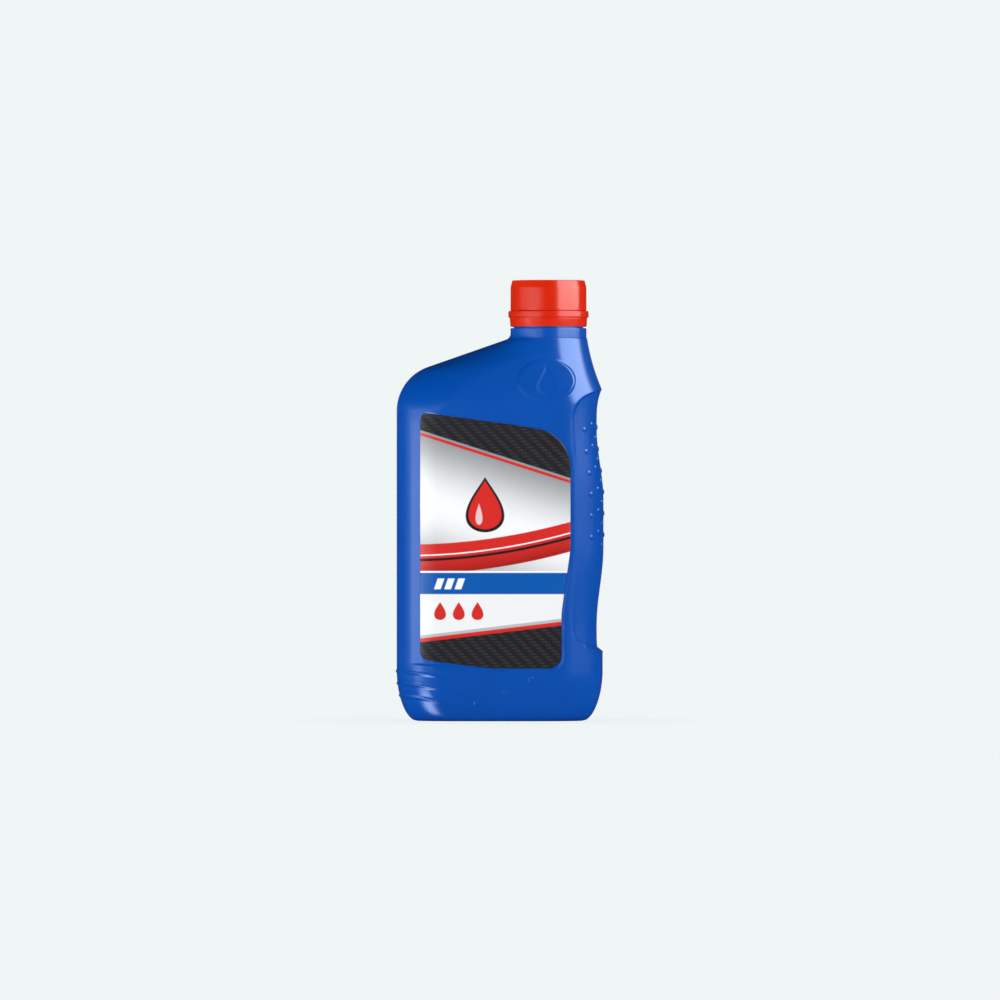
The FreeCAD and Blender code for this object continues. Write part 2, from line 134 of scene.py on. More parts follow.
# Grip on the right side
GRIP_LINE = 55.46
GRIP_DEPTH = 3.65
GRIP_HIGH_Z = 157.0
GRIP_LOW_Z = 50.5
GRIP_HIGH_REACH = (26.0, 39.0)           # away from the other hollow, and towards it
GRIP_LOW_REACH = (25.0, 43.0)
PEAK_FULLNESS = 1.2        # added to the plain side above the grip
PEAK_FROM_Z = GRIP_HIGH_Z - 17.0
PEAK_RUN = 30.0
GRIP_CORNERS = [(66.0, PEAK_Z + 3.75, 0.5), (38.5, PEAK_Z - 6.2, 15.0), (42.5, BULGE_Z, 60.0),
                (38.5, 41.0, 12.0), (66.0, 36.3, 0.5)]
DOT_RADIUS = 1.6
DOT_HEIGHT = 0.62
DOT_RINGS = [1.0, 0.93, 0.8, 0.6, 0.35, 0.0]       # shares of the radius
DOT_SIDES = 20
DOT_ROOT = 0.12
DOT_ROUND_POWER = 0.8
DOT_PITCH = 11.53
DOTS_IN_COLUMN = 6
DOT_COLUMNS = [(155.8, 6.6), (158.7, 2.7), (151.6, 0.75), (157.3, 0.0)]     # top z, in from the side

# Ribs round the lower left corner: z at the left, end x, fall
RIBS = [(26.6, -20.0, 4.6), (20.1, -15.0, 5.6), (13.5, -15.0, 6.0)]
RIB_HEIGHT = 0.54
RIB_HALF_WIDTH = 1.0
RIB_LEVEL_SHARE = 0.1      # of a rib's length, from the left
RIB_FALL_POWER = 1.15
RIB_ROUND_POWER = 1.5
RIB_FADE_FROM = 0.55
RIB_DOTS = [(16.6, 22.5), (3.0, 15.5), (-12.5, 9.9)]
RIB_DOT_SHARE = 0.6        # of the height of the grip's studs

# Raised oval with a sunk drop on the shoulder
OVAL_X = 24.8
OVAL_Z = 182.0
OVAL_HALF_WIDTH = 15.2
OVAL_HALF_HEIGHT = 11.4
OVAL_RELIEF = 0.48
OVAL_EDGE = 1.3
OVAL_FACE_EDGE = 0.9
OVAL_FLAT_SHARE = 0.8      # of the way from the round shoulder to a flat face
OVAL_MOST_RISE = 4.0
DROP_SHARE = 0.55          # of the oval's relief
DROP_EDGE = 1.6
DROP_RADIUS = 4.6
DROP_HEIGHT = 15.0

# Neck, band and cap
COLLAR_R = 20.36
COLLAR_FOOT = (204.2, 208.0)             # levels between which the fillet reaches the collar
COLLAR_FOOT_RINGS = 14
COLLAR_TOP = 210.4
COLLAR_WALL = 1.6
NECK_WEB = 1.6
FILLET_R = 3.5
FILLET_POWER = 2.5
GROOVE_R = 18.6
NECK_R = 17.45
NECK_FOOT_RISE = 0.9
NECK_BORE_R = 15.4
BEAD_R = 18.9
BEAD_RISE = 5.3
BEAD_HEIGHT = 1.5
RIM_Z = float(SHELL_HIGH[2])
THREAD_PITCH = 4.23
THREAD_TURNS = 1.75
THREAD_DEPTH = 1.2
THREAD_ROOT = 2.2
THREAD_CREST = 0.7
THREAD_START = 2.2
THREAD_SINK = 0.2
THREAD_FADE_TURNS = 0.08
THREAD_END_SHARE = 0.4     # of the ridge's width, that is left at its ends
THREAD_FLANK = [(0.0, 1.0, 0.0), (0.12, 0.86, 0.0), (0.85, 0.0, 1.15), (1.0, 0.0, 0.7)]
THREAD_PLAY = 0.3
THREAD_GAP = 0.4
BAND_R = 20.75
BAND_BEAD_R = 21.5
BAND_BOTTOM = float(BAND_LOW[2])
BEAD_BOTTOM = BAND_BOTTOM + 4.7
BAND_TOP = BEAD_BOTTOM + 3.7
BAND_LIP_R = 18.15
BAND_LIP_HEIGHT = 1.2
BAND_GAP = 0.3
SMALL_EDGE = 0.35
BRIDGES = 8
BRIDGE_SIZE = 0.9
BRIDGE_ROOT = 0.2
BRIDGE_BREAK = 0.1
CAP_R = float(CAP_HIGH[0] - CAP_LOW[0]) / 2
HEM_Z = float(CAP_LOW[2])
CAP_TOP = float(CAP_HIGH[2])
CAP_TOP_WALL = 1.6
CAP_BEVEL_WIDTH = 0.9
CAP_BEVEL_HEIGHT = 3.9
CAP_BORE_R = NECK_R + THREAD_DEPTH + THREAD_GAP


# Formulas of the body, on whole arrays


def smooth_step(t):
    """0 to 1 with level ends."""
    t = np.clip(t, 0.0, 1.0)
    return t * t * (3 - 2 * t)


def smooth_min(a, b, softness):
    """The smaller of two values, rounded where they cross."""
    near = np.maximum(0.0, 1 - np.abs(a - b) / softness)
    return np.minimum(a, b) - near * near * softness / 4


def flare_r(z):
    """Radius of the flared shoulder round the neck's axis."""
    drop = SHOULDER_Z - z
    return SHOULDER_R + math.tan(FLARE_ANGLE) * drop + FLARE_GROWTH * drop ** 2


def heel(z):
    """Share, from 1 at the base to 0, by which the heel has turned in."""
    up = np.clip(z / HEEL_HEIGHT, 0.0, 1.0)
    return 1 - np.sqrt(1 - (1 - up) ** HEEL_POWER)


def left_x(z, inset):
    """Left outline: a straight side, a round corner and the long slope up to the neck."""
    centre_x = SHOULDER_CORNER_R - LEFT_SIDE
    slope_x = NECK_X - SHOULDER_R
    run = centre_x - SHOULDER_CORNER_R * math.sin(SHOULDER_SLOPE) - slope_x
    centre_z = SHOULDER_Z - SHOULDER_CORNER_R * math.cos(SHOULDER_SLOPE)
    centre_z += run * math.tan(SHOULDER_SLOPE)
    radius = SHOULDER_CORNER_R - inset
    rise = z - centre_z
    side = inset - LEFT_SIDE + HEEL_INSET * heel(z - inset)
    arc = centre_x - np.sqrt(np.maximum(radius ** 2 - rise ** 2, 0.0))
    slope = slope_x - (SHOULDER_Z - z) / math.tan(SHOULDER_SLOPE) + inset / math.sin(SHOULDER_SLOPE)
    above_side = np.where(rise < radius * math.cos(SHOULDER_SLOPE), arc, slope)
    return np.where(rise <= 0, side, above_side)


def right_x(z, inset):
    """Right outline: the neck's flare, then a slightly full side."""
    rise = smooth_step((z - HEEL_HEIGHT) / (BULGE_Z - HEEL_HEIGHT))
    side = BASE_RIGHT + (RIGHT_BULGE - BASE_RIGHT) * rise
    side = side + PEAK_FULLNESS * smooth_step((z - PEAK_FROM_Z) / PEAK_RUN)
    return smooth_min(NECK_X + flare_r(z), side, FLARE_SOFTNESS) - inset - HEEL_INSET * heel(z - inset)


def hollow(z, middle, reach, on_outer_side):
    """Depth share of one finger hollow: rounder on its outer side and longer on its inner side."""
    away = np.abs(z - middle)
    share = np.where(on_outer_side, (away / reach[0]) ** 2, away / reach[1])
    return np.cos(math.pi / 2 * np.minimum(1.0, share)) ** 2


def grip_x(z, inset):
    """Right outline inside the grip: two finger hollows with a full stretch between them."""
    high = hollow(z, GRIP_HIGH_Z, GRIP_HIGH_REACH, z > GRIP_HIGH_Z)
    low = hollow(z, GRIP_LOW_Z, GRIP_LOW_REACH, z < GRIP_LOW_Z)
    return GRIP_LINE - GRIP_DEPTH * np.maximum(high, low) - inset


def neck_share(z):
    """0 in the body, rising to 1 where the section is the neck's circle."""
    return smooth_step((z - BODY_TOP_Z) / (SHOULDER_Z - BODY_TOP_Z))


def level_shape(z, inset, side):
    """A level's ends, the reach of its two corners, its half depth, flat side and crown."""
    share = neck_share(z)
    start = left_x(z, inset)
    end = side(z, inset)
    sweep = SHOULDER_REACH * smooth_step((z - SHOULDER_FROM_Z) / SHOULDER_RUN)
    reach_left = smooth_min(NECK_X - start, CORNER_R - inset + sweep, REACH_SOFTNESS) - LEAST_EDGE
    reach_right = CORNER_R + (SHOULDER_R - CORNER_R) * share - inset - LEAST_EDGE
    depth = smooth_min(flare_r(z), BODY_DEPTH / 2, FLARE_BLEND) - inset
    depth = depth - HEEL_DEPTH_INSET * heel(z - inset)
    flat = LEAST_EDGE + (BODY_DEPTH / 2 - CORNER_R) * (1 - share)
    return start, end, reach_left, reach_right, depth, flat, FRONT_CROWN * (1 - share)


def half_depth(x, z, inset, side):
    """How far the surface stands from the mid plane at points of the front view."""
    start, end, reach_left, reach_right, depth, flat, crown = level_shape(z, inset, side)
    share = np.minimum(1.0, np.minimum((x - start) / reach_left, (end - x) / reach_right))
    rise = depth - crown - flat
    left, right = start + reach_left, end - reach_right
    across = np.clip((2 * x - left - right) / np.maximum(right - left, 1e-6), -1.0, 1.0)
    corner = flat + rise * np.sqrt(np.clip(1 - (1 - share) ** 2, 0.0, 1.0))
    return np.where(share > 0, corner + crown * (1 - across ** 2), -1.0)


def unit(vectors):
    """Vectors of length one."""
    return vectors / np.linalg.norm(vectors, axis=-1, keepdims=True)


def full_turn(count):
    """Even angles of one turn, without its end."""
    return np.linspace(0, 2 * math.pi, count, endpoint=False)


def rounded_outline(corners, steps=9):
    """Closed outline through corners (x, z, radius) as an array of points."""
    places = np.array([c[:2] for c in corners], float)
    radii = np.array([c[2] for c in corners], float)
    before = unit(np.roll(places, 1, axis=0) - places)
    after = unit(np.roll(places, -1, axis=0) - places)
    half = np.arccos(np.clip((before * after).sum(1), -1, 1)) / 2
    inward = unit(before + after)
    centres = places + inward * (radii / np.sin(half))[:, None]
    start = places + before * (radii / np.tan(half))[:, None] - centres
    finish = places + after * (radii / np.tan(half))[:, None] - centres
    share = np.linspace(0, 1, steps)[None, :, None]
    arc = start[:, None] * (1 - share) + finish[:, None] * share
    arc *= radii[:, None, None] / np.linalg.norm(arc, axis=2)[:, :, None]
    return (centres[:, None] + arc).reshape(-1, 2)


def outline_distance(x, z, outline):
    """Signed distance from points to a closed outline, negative inside."""
    best = np.full(x.shape, 1e9)
    inside = np.zeros(x.shape, bool)
    for a, b in zip(outline, np.roll(outline, -1, axis=0)):
        edge = b - a
        length = edge @ edge
        if length < 1e-12:
            continue
        along = np.clip(((x - a[0]) * edge[0] + (z - a[1]) * edge[1]) / length, 0, 1)
        best = np.minimum(best, np.hypot(x - a[0] - along * edge[0], z - a[1] - along * edge[1]))
        if a[1] != b[1]:
            crosses = (a[1] > z) != (b[1] > z)
            inside ^= crosses & (x < a[0] + (z - a[1]) * edge[0] / edge[1])
    return np.where(inside, -best, best)


def sunk(distance, softness):
    """1 inside an outline and 0 outside it, over a soft edge centred on the outline."""
    return smooth_step(0.5 - distance / softness)


# Meshes


def placed(name, data):
    """Object with a mesh, light or camera, in the scene."""
    made = bpy.data.objects.new(name, data)
    bpy.context.scene.collection.objects.link(made)
    return made


def merged_object(name, points, faces, material):
    """Object from points in metres and faces, with points that share a place merged into one."""
    mesh = bpy.data.meshes.new(name)
    mesh.from_pydata(points.tolist(), [], faces)
    shape = bmesh.new()
    shape.from_mesh(mesh)
    bmesh.ops.remove_doubles(shape, verts=shape.verts, dist=MERGE_REACH)
    shape.to_mesh(mesh)
    shape.free()
    mesh.polygons.foreach_set("use_smooth", np.full(len(mesh.polygons), True))
    mesh.materials.append(material)
    return placed(name, mesh)


def make_piece(name, parts, body, node, material):
    """Joins (points, faces) parts given in millimetres into one object that rides on a body."""
    offsets = np.cumsum([0] + [len(points) for points, faces in parts[:-1]])
    points = np.concatenate([points for points, faces in parts]) * MM
    faces = []
    for (part_points, part_faces), offset in zip(parts, offsets):
        faces += (np.asarray(part_faces) + offset).tolist()
    piece = merged_object(name, points, faces, material)
    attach(piece, body)
    if node:
        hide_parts(node)
    return piece


def grid_faces(rows, columns, closed=True, flip=False):
    """Quads of a grid whose points run row by row; closed joins each row's ends."""
    across = columns if closed else columns - 1
    row, column = np.meshgrid(np.arange(rows - 1), np.arange(across), indexing="ij")
    beside = (column + 1) % columns
    quads = np.stack([row * columns + column, row * columns + beside,
                      (row + 1) * columns + beside, (row + 1) * columns + column], -1).reshape(-1, 4)
    return quads[:, ::-1] if flip else quads


ARC_ROOM = 0.45            # of the shorter side, that an arc may take
BESIDE_ARC = 1.12          # of an arc's reach, where the point beside it lies
TURN_COLUMNS = 144


def rounded_profile(corners, steps=4):
    """Open profile through (r, z, radius) corners, with arcs and a point close beside each arc."""
    points = [np.array(corners[0][:2], float)]
    for before, corner, after in zip(corners, corners[1:], corners[2:]):
        here = np.array(corner[:2], float)
        back = np.array(before[:2], float) - here
        ahead = np.array(after[:2], float) - here
        room = min(np.linalg.norm(back), np.linalg.norm(ahead)) * ARC_ROOM
        back /= np.linalg.norm(back)
        ahead /= np.linalg.norm(ahead)
        half = math.acos(max(-1.0, min(1.0, float(back @ ahead)))) / 2
        reach = min(corner[2] / math.tan(half), room)
        radius = reach * math.tan(half)
        inward = (back + ahead) / np.linalg.norm(back + ahead)
        centre = here + inward * radius / math.sin(half)
        share = np.linspace(0, 1, steps + 1)[:, None]
        arc = (here + back * reach - centre) * (1 - share)
        arc += (here + ahead * reach - centre) * share
        arc *= radius / np.linalg.norm(arc, axis=1)[:, None]
        points.append(here + back * reach * BESIDE_ARC)
        points += list(centre + arc)
        points.append(here + ahead * reach * BESIDE_ARC)
    points.append(np.array(corners[-1][:2], float))
    return np.array(points)


def turned(profile):
    """Surface of revolution round the neck's axis: each profile point (r, z) becomes a ring."""
    angle = full_turn(TURN_COLUMNS)[None, :]
    radius, level = profile[:, :1], profile[:, 1:]
    x = NECK_X + radius * np.cos(angle)
    points = np.stack([x, radius * np.sin(angle), level + 0 * angle], -1)
    return points.reshape(-1, 3), grid_faces(len(profile), TURN_COLUMNS)


def helix(root_r, crest_r, start_z, steps=220):
    """Thread ridge: a trapezoid carried along a helix whose crest sinks to the wall at both ends."""
    turn = np.linspace(0, THREAD_TURNS, steps)[:, None]
    fade = smooth_step(np.minimum(turn, THREAD_TURNS - turn) / THREAD_FADE_TURNS)
    sink = THREAD_SINK * np.sign(root_r - crest_r)
    rise, of_root, of_crest = np.array(THREAD_FLANK).T
    spread = (of_root * THREAD_ROOT + of_crest * THREAD_CREST) / 2
    share = np.concatenate([rise, rise[::-1]])[None, :]
    half = np.concatenate([-spread, spread[::-1]])[None, :]
    radius = root_r + sink + (crest_r - root_r - sink) * share * fade
    angle = turn * 2 * math.pi
    points = np.stack([NECK_X + radius * np.cos(angle), radius * np.sin(angle),
                       start_z + THREAD_PITCH * turn
                       + half * (THREAD_END_SHARE + (1 - THREAD_END_SHARE) * fade)], -1)
    return points.reshape(-1, 3), grid_faces(*radius.shape, closed=False, flip=root_r < crest_r)


def box_part(low, high, turn=0.0):
    """Box between two corners, turned round the neck's axis."""
    corners = np.array([[x, y, z] for z in (low[2], high[2])
                        for y in (low[1], high[1]) for x in (low[0], high[0])], float)
    away = corners[:, 0] - NECK_X
    x = NECK_X + away * math.cos(turn) - corners[:, 1] * math.sin(turn)
    y = away * math.sin(turn) + corners[:, 1] * math.cos(turn)
    faces = [[0, 2, 3, 1], [4, 5, 7, 6], [0, 1, 5, 4], [2, 6, 7, 3], [0, 4, 6, 2], [1, 3, 7, 5]]
    return np.stack([x, y, corners[:, 2]], -1), faces


# The bottle

COLUMN_COUNTS = (4, 44, 56, 54, 4)       # left side, left corner, face, right corner, right side
ROW_BANDS = [(0.0, 30.0, 70), (30.0, 38.0, 14), (38.0, 150.0, 70), (150.0, 196.0, 110),
             (196.0, SHOULDER_Z, 16)]    # from z, to z, rows
GRIP_MOST_SINK = 9.0
GRIP_HALVINGS = 16


def column_shares():
    """Place of each column of the front half on its stretch of the level curve."""
    kinds = np.concatenate([np.full(n, kind) for kind, n in enumerate(COLUMN_COUNTS)])
    shares = np.concatenate([np.arange(n) / n for n in COLUMN_COUNTS])
    return np.append(kinds, 4), np.append(shares, 1.0)


def ring_points(z, inset, side):
    """Closed level curves: flat sides, quarter-ellipse corners and a slightly full front and back."""
    kinds, shares = column_shares()
    start, end, reach_left, reach_right, depth, flat, crown = [
        np.broadcast_to(v, z.shape)[:, None] for v in level_shape(z, inset, side)]
    rise = depth - crown - flat
    left, right = start + reach_left, end - reach_right
    angle = shares[None, :] * math.pi / 2
    across = shares[None, :]
    x = np.select([kinds == 0, kinds == 1, kinds == 2, kinds == 3],
                  [start + 0 * across, left - reach_left * np.cos(angle), left + (right - left) * across,
                   right + reach_right * np.sin(angle)], end + 0 * across)
    y = np.select([kinds == 0, kinds == 1, kinds == 2, kinds == 3],
                  [flat * across, flat + rise * np.sin(angle),
                   flat + rise + crown * (1 - (2 * across - 1) ** 2), flat + rise * np.cos(angle)],
                  flat * (1 - across))
    front = np.stack([x, -y], -1)
    back = np.stack([x, y], -1)[:, -2:0:-1]
    return np.concatenate([front, back], axis=1)


def at_heights(plan, heights):
    """Level curves with a height for each row or point."""
    return np.concatenate([plan, np.broadcast_to(heights, plan.shape[:2])[..., None]], axis=2)


def outward(plan):
    """Unit normals of level curves, seen from above."""
    along = np.roll(plan, -1, axis=1) - np.roll(plan, 1, axis=1)
    normal = np.stack([along[..., 1], -along[..., 0]], -1)
    return normal / np.maximum(np.linalg.norm(normal, axis=2)[..., None], 1e-9)


def grip_sink(plan, normal, z):
    """How far each point has to move inwards to reach the grip's own surface, by halving."""
    near, far = np.zeros(z.shape), np.full(z.shape, GRIP_MOST_SINK)
    for _ in range(GRIP_HALVINGS):
        middle = (near + far) / 2
        x = plan[..., 0] - normal[..., 0] * middle
        y = plan[..., 1] - normal[..., 1] * middle
        outside = np.abs(y) > half_depth(x, z, 0.0, grip_x)
        near = np.where(outside, middle, near)
        far = np.where(outside, far, middle)
    return near


def rib_relief(x, z):
    """Height of the three ridges: level round the corner, then falling and fading to the right."""
    relief = np.zeros(x.shape)
    for left_z, end_x, fall in RIBS:
        along = (x + LEFT_SIDE) / (end_x + LEFT_SIDE)
        past_level = np.clip((along - RIB_LEVEL_SHARE) / (1 - RIB_LEVEL_SHARE), 0.0, None)
        middle = left_z - fall * past_level ** RIB_FALL_POWER
        ridge = np.clip(1 - ((z - middle) / RIB_HALF_WIDTH) ** 2, 0.0, 1.0) ** RIB_ROUND_POWER
        fade = 1 - smooth_step((along - RIB_FADE_FROM) / (1 - RIB_FADE_FROM))
        relief = np.maximum(relief, RIB_HEIGHT * ridge * fade)
    return relief


def drop_distance(x, z):
    """Distance outside a drop: a round bowl with straight sides up to its tip."""
    low_z = OVAL_Z - DROP_HEIGHT / 2 + DROP_RADIUS
    tip = OVAL_Z + DROP_HEIGHT / 2 - low_z
    swing = math.acos(DROP_RADIUS / tip)
    across, up = np.abs(x - OVAL_X), z - low_z
    bowl = np.hypot(across, up) - DROP_RADIUS
    side = across * math.sin(swing) + up * math.cos(swing) - DROP_RADIUS
    beside_bowl = across * math.cos(swing) - up * math.sin(swing) > 0
    return np.where(beside_bowl, bowl, side)


def oval_distance(x, z):
    """Distance outside the shoulder's oval, by its half height."""
    across = np.hypot((x - OVAL_X) / OVAL_HALF_WIDTH, (z - OVAL_Z) / OVAL_HALF_HEIGHT)
    return (across - 1) * OVAL_HALF_HEIGHT


def oval_relief(x, z):
    """Height of the shoulder's oval, with the drop left out of it."""
    drop = DROP_SHARE * sunk(drop_distance(x, z), DROP_EDGE)
    return OVAL_RELIEF * sunk(oval_distance(x, z), OVAL_EDGE) * (1 - drop)


def oval_flatness(x, z):
    """How far the oval's face stands forward of the round shoulder, so that it stays flat."""
    middle_depth = half_depth(OVAL_X + 0 * x, z, 0.0, right_x)
    set_back = np.clip(middle_depth - half_depth(x, z, 0.0, right_x), 0.0, OVAL_MOST_RISE)
    return sunk(oval_distance(x, z), OVAL_FACE_EDGE) * OVAL_FLAT_SHARE * set_back


def bottle_rows():
    """Levels of the bottle's grid, closer together where it has fine shapes."""
    bands = [np.linspace(low, high, count, endpoint=False) for low, high, count in ROW_BANDS]
    return np.concatenate(bands + [[SHOULDER_Z]])


def moulded_surface(settings):
    """Outside of the body: the plain form, moved in at its panels and grip and out at its relief."""
    levels = bottle_rows()
    plan = ring_points(levels, 0.0, right_x)
    normal = outward(plan)
    z = np.broadcast_to(levels[:, None], plan.shape[:2])
    x = plan[..., 0]
    open_left = [(PANEL_OPEN_X if corner[0] == PANEL_CORNERS[0][0] else corner[0], *corner[1:])
                 for corner in PANEL_CORNERS]
    to_panel = outline_distance(x, z, rounded_outline(open_left))
    panel = PANEL_DEPTH * sunk(to_panel, settings.panel_edge / MM)
    panel = panel * smooth_step((x - PANEL_FADE_LEFT) / PANEL_FADE_RUN)
    in_grip = sunk(outline_distance(x, z, rounded_outline(GRIP_CORNERS)), settings.grip_edge / MM)
    move = np.maximum(panel, in_grip * grip_sink(plan, normal, z))
    move = move - rib_relief(x, z) - oval_relief(x, z)
    plan = plan - normal * move[..., None]
    plan[..., 1] += np.sign(plan[..., 1]) * oval_flatness(x, z)
    return at_heights(plan, z)


def base_rows():
    """Under side: foot ring, pushed-up middle and the rings that close it."""
    insets = np.array(BASE_INSETS)
    rise = smooth_step((insets - FOOT_WIDTH) / BASE_SLOPE_RUN) * BASE_RISE
    plans = np.concatenate([ring_points(np.zeros(1), inset, right_x) for inset in insets])
    rings = at_heights(plans, rise[:, None])
    last = rings[-1:]
    middle = np.array([(last[..., 0].min() + last[..., 0].max()) / 2, 0.0, BASE_RISE])
    shrink = np.array(BASE_CLOSING)[:, None, None]
    return np.concatenate([rings, middle + (last - middle) * shrink])[::-1]


def shelf_rows():
    """Top of the shoulder, closed inwards under the collar."""
    level = np.full(1, SHOULDER_Z)
    plans = np.concatenate([ring_points(level, inset, right_x) for inset in SHELF_INSETS])
    return at_heights(plans, SHOULDER_Z)


def inner_wall():
    """Inside of the shoulder, which shows through the open neck."""
    levels = np.linspace(INNER_LOW_Z, SHOULDER_Z - NECK_WEB, INNER_RINGS)
    rows = at_heights(ring_points(levels, WALL, right_x), levels[:, None])
    return rows.reshape(-1, 3), grid_faces(rows.shape[0], rows.shape[1], flip=True)


def bottle_body_parts(settings):
    """Outside from base to shoulder as one grid, the inside below the neck and the base's pinch scar."""
    rows = np.concatenate([base_rows(), moulded_surface(settings), shelf_rows()])
    scar = box_part((-PINCH_LENGTH / 2, -PINCH_WIDTH / 2, BASE_RISE - PINCH_HEIGHT),
                    (PINCH_LENGTH / 2, PINCH_WIDTH / 2, BASE_RISE + PINCH_ROOT))
    return [(rows.reshape(-1, 3), grid_faces(rows.shape[0], rows.shape[1])), inner_wall(), scar]


def fillet_reach(z):
    """How far the fillet between the long slope and the collar stands out from the collar."""
    side_x = NECK_X - COLLAR_R
    centre_x = side_x - FILLET_R
    line_z = SHOULDER_Z + (centre_x - NECK_X + SHOULDER_R) * math.tan(SHOULDER_SLOPE)
    centre_z = line_z + FILLET_R / math.cos(SHOULDER_SLOPE)
    away = np.sqrt(np.clip(FILLET_R ** 2 - (z - centre_z) ** 2, 0.0, None))
    return np.where(z < centre_z, side_x - centre_x - away, 0.0)


def neck_part():
    """Collar, groove, bead, finish and bore as one turned surface, with the fillet on the slope's side."""
    bead_z = BAND_BOTTOM + BEAD_RISE
    neck_z = BAND_BOTTOM + NECK_FOOT_RISE
    hollow_r = COLLAR_R - COLLAR_WALL
    outside = rounded_profile([
        (COLLAR_R, COLLAR_FOOT[1] + 0.2, 0), (COLLAR_R, COLLAR_TOP, 0.4), (GROOVE_R, COLLAR_TOP, 0.2),
        (GROOVE_R, BAND_BOTTOM + 0.2, 0.2), (NECK_R, neck_z, 0.3), (NECK_R, bead_z, 0.1),
        (BEAD_R, bead_z, 0.15), (BEAD_R, bead_z + SMALL_EDGE, 0.15), (NECK_R, bead_z + BEAD_HEIGHT, 0.3),
        (NECK_R, RIM_Z, 0.45), (NECK_BORE_R, RIM_Z, 0.3), (NECK_BORE_R, neck_z, 0.8),
        (hollow_r, COLLAR_TOP - COLLAR_WALL, 0.8), (hollow_r, SHOULDER_Z - NECK_WEB, 0)])
    foot = np.linspace(*COLLAR_FOOT, COLLAR_FOOT_RINGS)
    profile = np.concatenate([np.stack([np.full(len(foot), COLLAR_R), foot], -1), outside])
    points, faces = turned(profile)
    reach = fillet_reach(points[:, 2])
    reach[len(foot) * TURN_COLUMNS:] = 0.0
    away = np.array(points[:, :2]) - [NECK_X, 0.0]
    direction = unit(away)
    to_left = np.clip(-direction[:, 0], 0.0, 1.0) ** FILLET_POWER
    points[:, :2] += direction * (reach * to_left)[:, None]
    return points, faces


ON_SIDE, ON_GRIP, ON_BODY = 0, 1, 2


def dot_places():
    """Points of the grip's studs and of one stud past each rib, and the surface that each is on."""
    places, kinds = [], []
    for top_z, inward in DOT_COLUMNS:
        z = top_z - DOT_PITCH * np.arange(DOTS_IN_COLUMN)
        x = grip_x(z, 0.0) - inward
        depth = half_depth(x, z, 0.0, grip_x) if inward else 0 * z
        places.append(np.stack([x, depth, z], -1))
        kinds.append(np.full(len(z), ON_GRIP if inward else ON_SIDE))
    x, z = np.array(RIB_DOTS, float).T
    places.append(np.stack([x, half_depth(x, z, 0.0, right_x), z], -1))
    kinds.append(np.full(len(x), ON_BODY))
    return np.concatenate(places), np.concatenate(kinds)


def stud_directions(places, kinds):
    """Outward normals of the body at the studs, from small steps along its surface."""
    step = 0.05
    x, z = places[:, 0], places[:, 2]
    depth = [np.where(kinds == ON_BODY, half_depth(x + dx, z + dz, 0.0, right_x),
                      half_depth(x + dx, z + dz, 0.0, grip_x))
             for dx, dz in ((-step, 0), (step, 0), (0, -step), (0, step))]
    normal = np.stack([depth[0] - depth[1], np.full(len(x), 2 * step), depth[2] - depth[3]], -1)
    side_slope = grip_x(z - step, 0.0) - grip_x(z + step, 0.0)
    on_side = np.stack([np.full(len(x), 2 * step), 0 * x, side_slope], -1)
    normal = np.where((kinds == ON_SIDE)[:, None], on_side, normal)
    return unit(normal)


def stud_parts():
    """Low round studs: each is a cap whose height falls to its rim as one minus the radius squared."""
    places, kinds = dot_places()
    normals = stud_directions(places, kinds)
    both = kinds != ON_SIDE
    mirror = np.array([1.0, -1.0, 1.0])
    places = np.concatenate([places * mirror, places[both]])[:, None]
    normals = np.concatenate([normals * mirror, normals[both]])
    kinds = np.concatenate([kinds, kinds[both]])
    beside = unit(np.cross(np.array([0.0, 0.0, 1.0]), normals))
    above = np.cross(normals, beside)
    share = np.array(DOT_RINGS)[:, None]
    angle = full_turn(DOT_SIDES)[None, :]
    height = DOT_HEIGHT * (1 - share ** 2) ** DOT_ROUND_POWER - DOT_ROOT * (share == 1.0)
    stud = np.stack([DOT_RADIUS * share * np.cos(angle), DOT_RADIUS * share * np.sin(angle),
                     height + 0 * angle], -1).reshape(-1, 3)[None]
    lift = np.where(kinds == ON_BODY, RIB_DOT_SHARE, 1.0)[:, None, None]
    points = (places + stud[..., :1] * beside[:, None] + stud[..., 1:2] * above[:, None]
              + stud[..., 2:] * normals[:, None] * lift)
    first = (np.arange(len(points)) * points.shape[1])[:, None, None]
    faces = grid_faces(len(share), DOT_SIDES)[None] + first
    return [(points.reshape(-1, 3), faces.reshape(-1, 4))]


# Cap, band and label


def cap_parts():
    """A cup turned from one closed profile, with its inner thread."""
    ceiling = CAP_TOP - CAP_TOP_WALL
    profile = rounded_profile([
        (0.0, ceiling, 0), (CAP_BORE_R, ceiling, 0.4), (CAP_BORE_R, HEM_Z, 0.2), (CAP_R, HEM_Z, 0.25),
        (CAP_R, CAP_TOP - CAP_BEVEL_HEIGHT, 4.0), (CAP_R - CAP_BEVEL_WIDTH, CAP_TOP, 0.5),
        (0.0, CAP_TOP, 0)])
    start = HEM_Z + THREAD_START - (THREAD_ROOT + THREAD_CREST) / 2 - THREAD_PLAY
    return [turned(profile), helix(CAP_BORE_R, CAP_BORE_R - THREAD_DEPTH, start)]


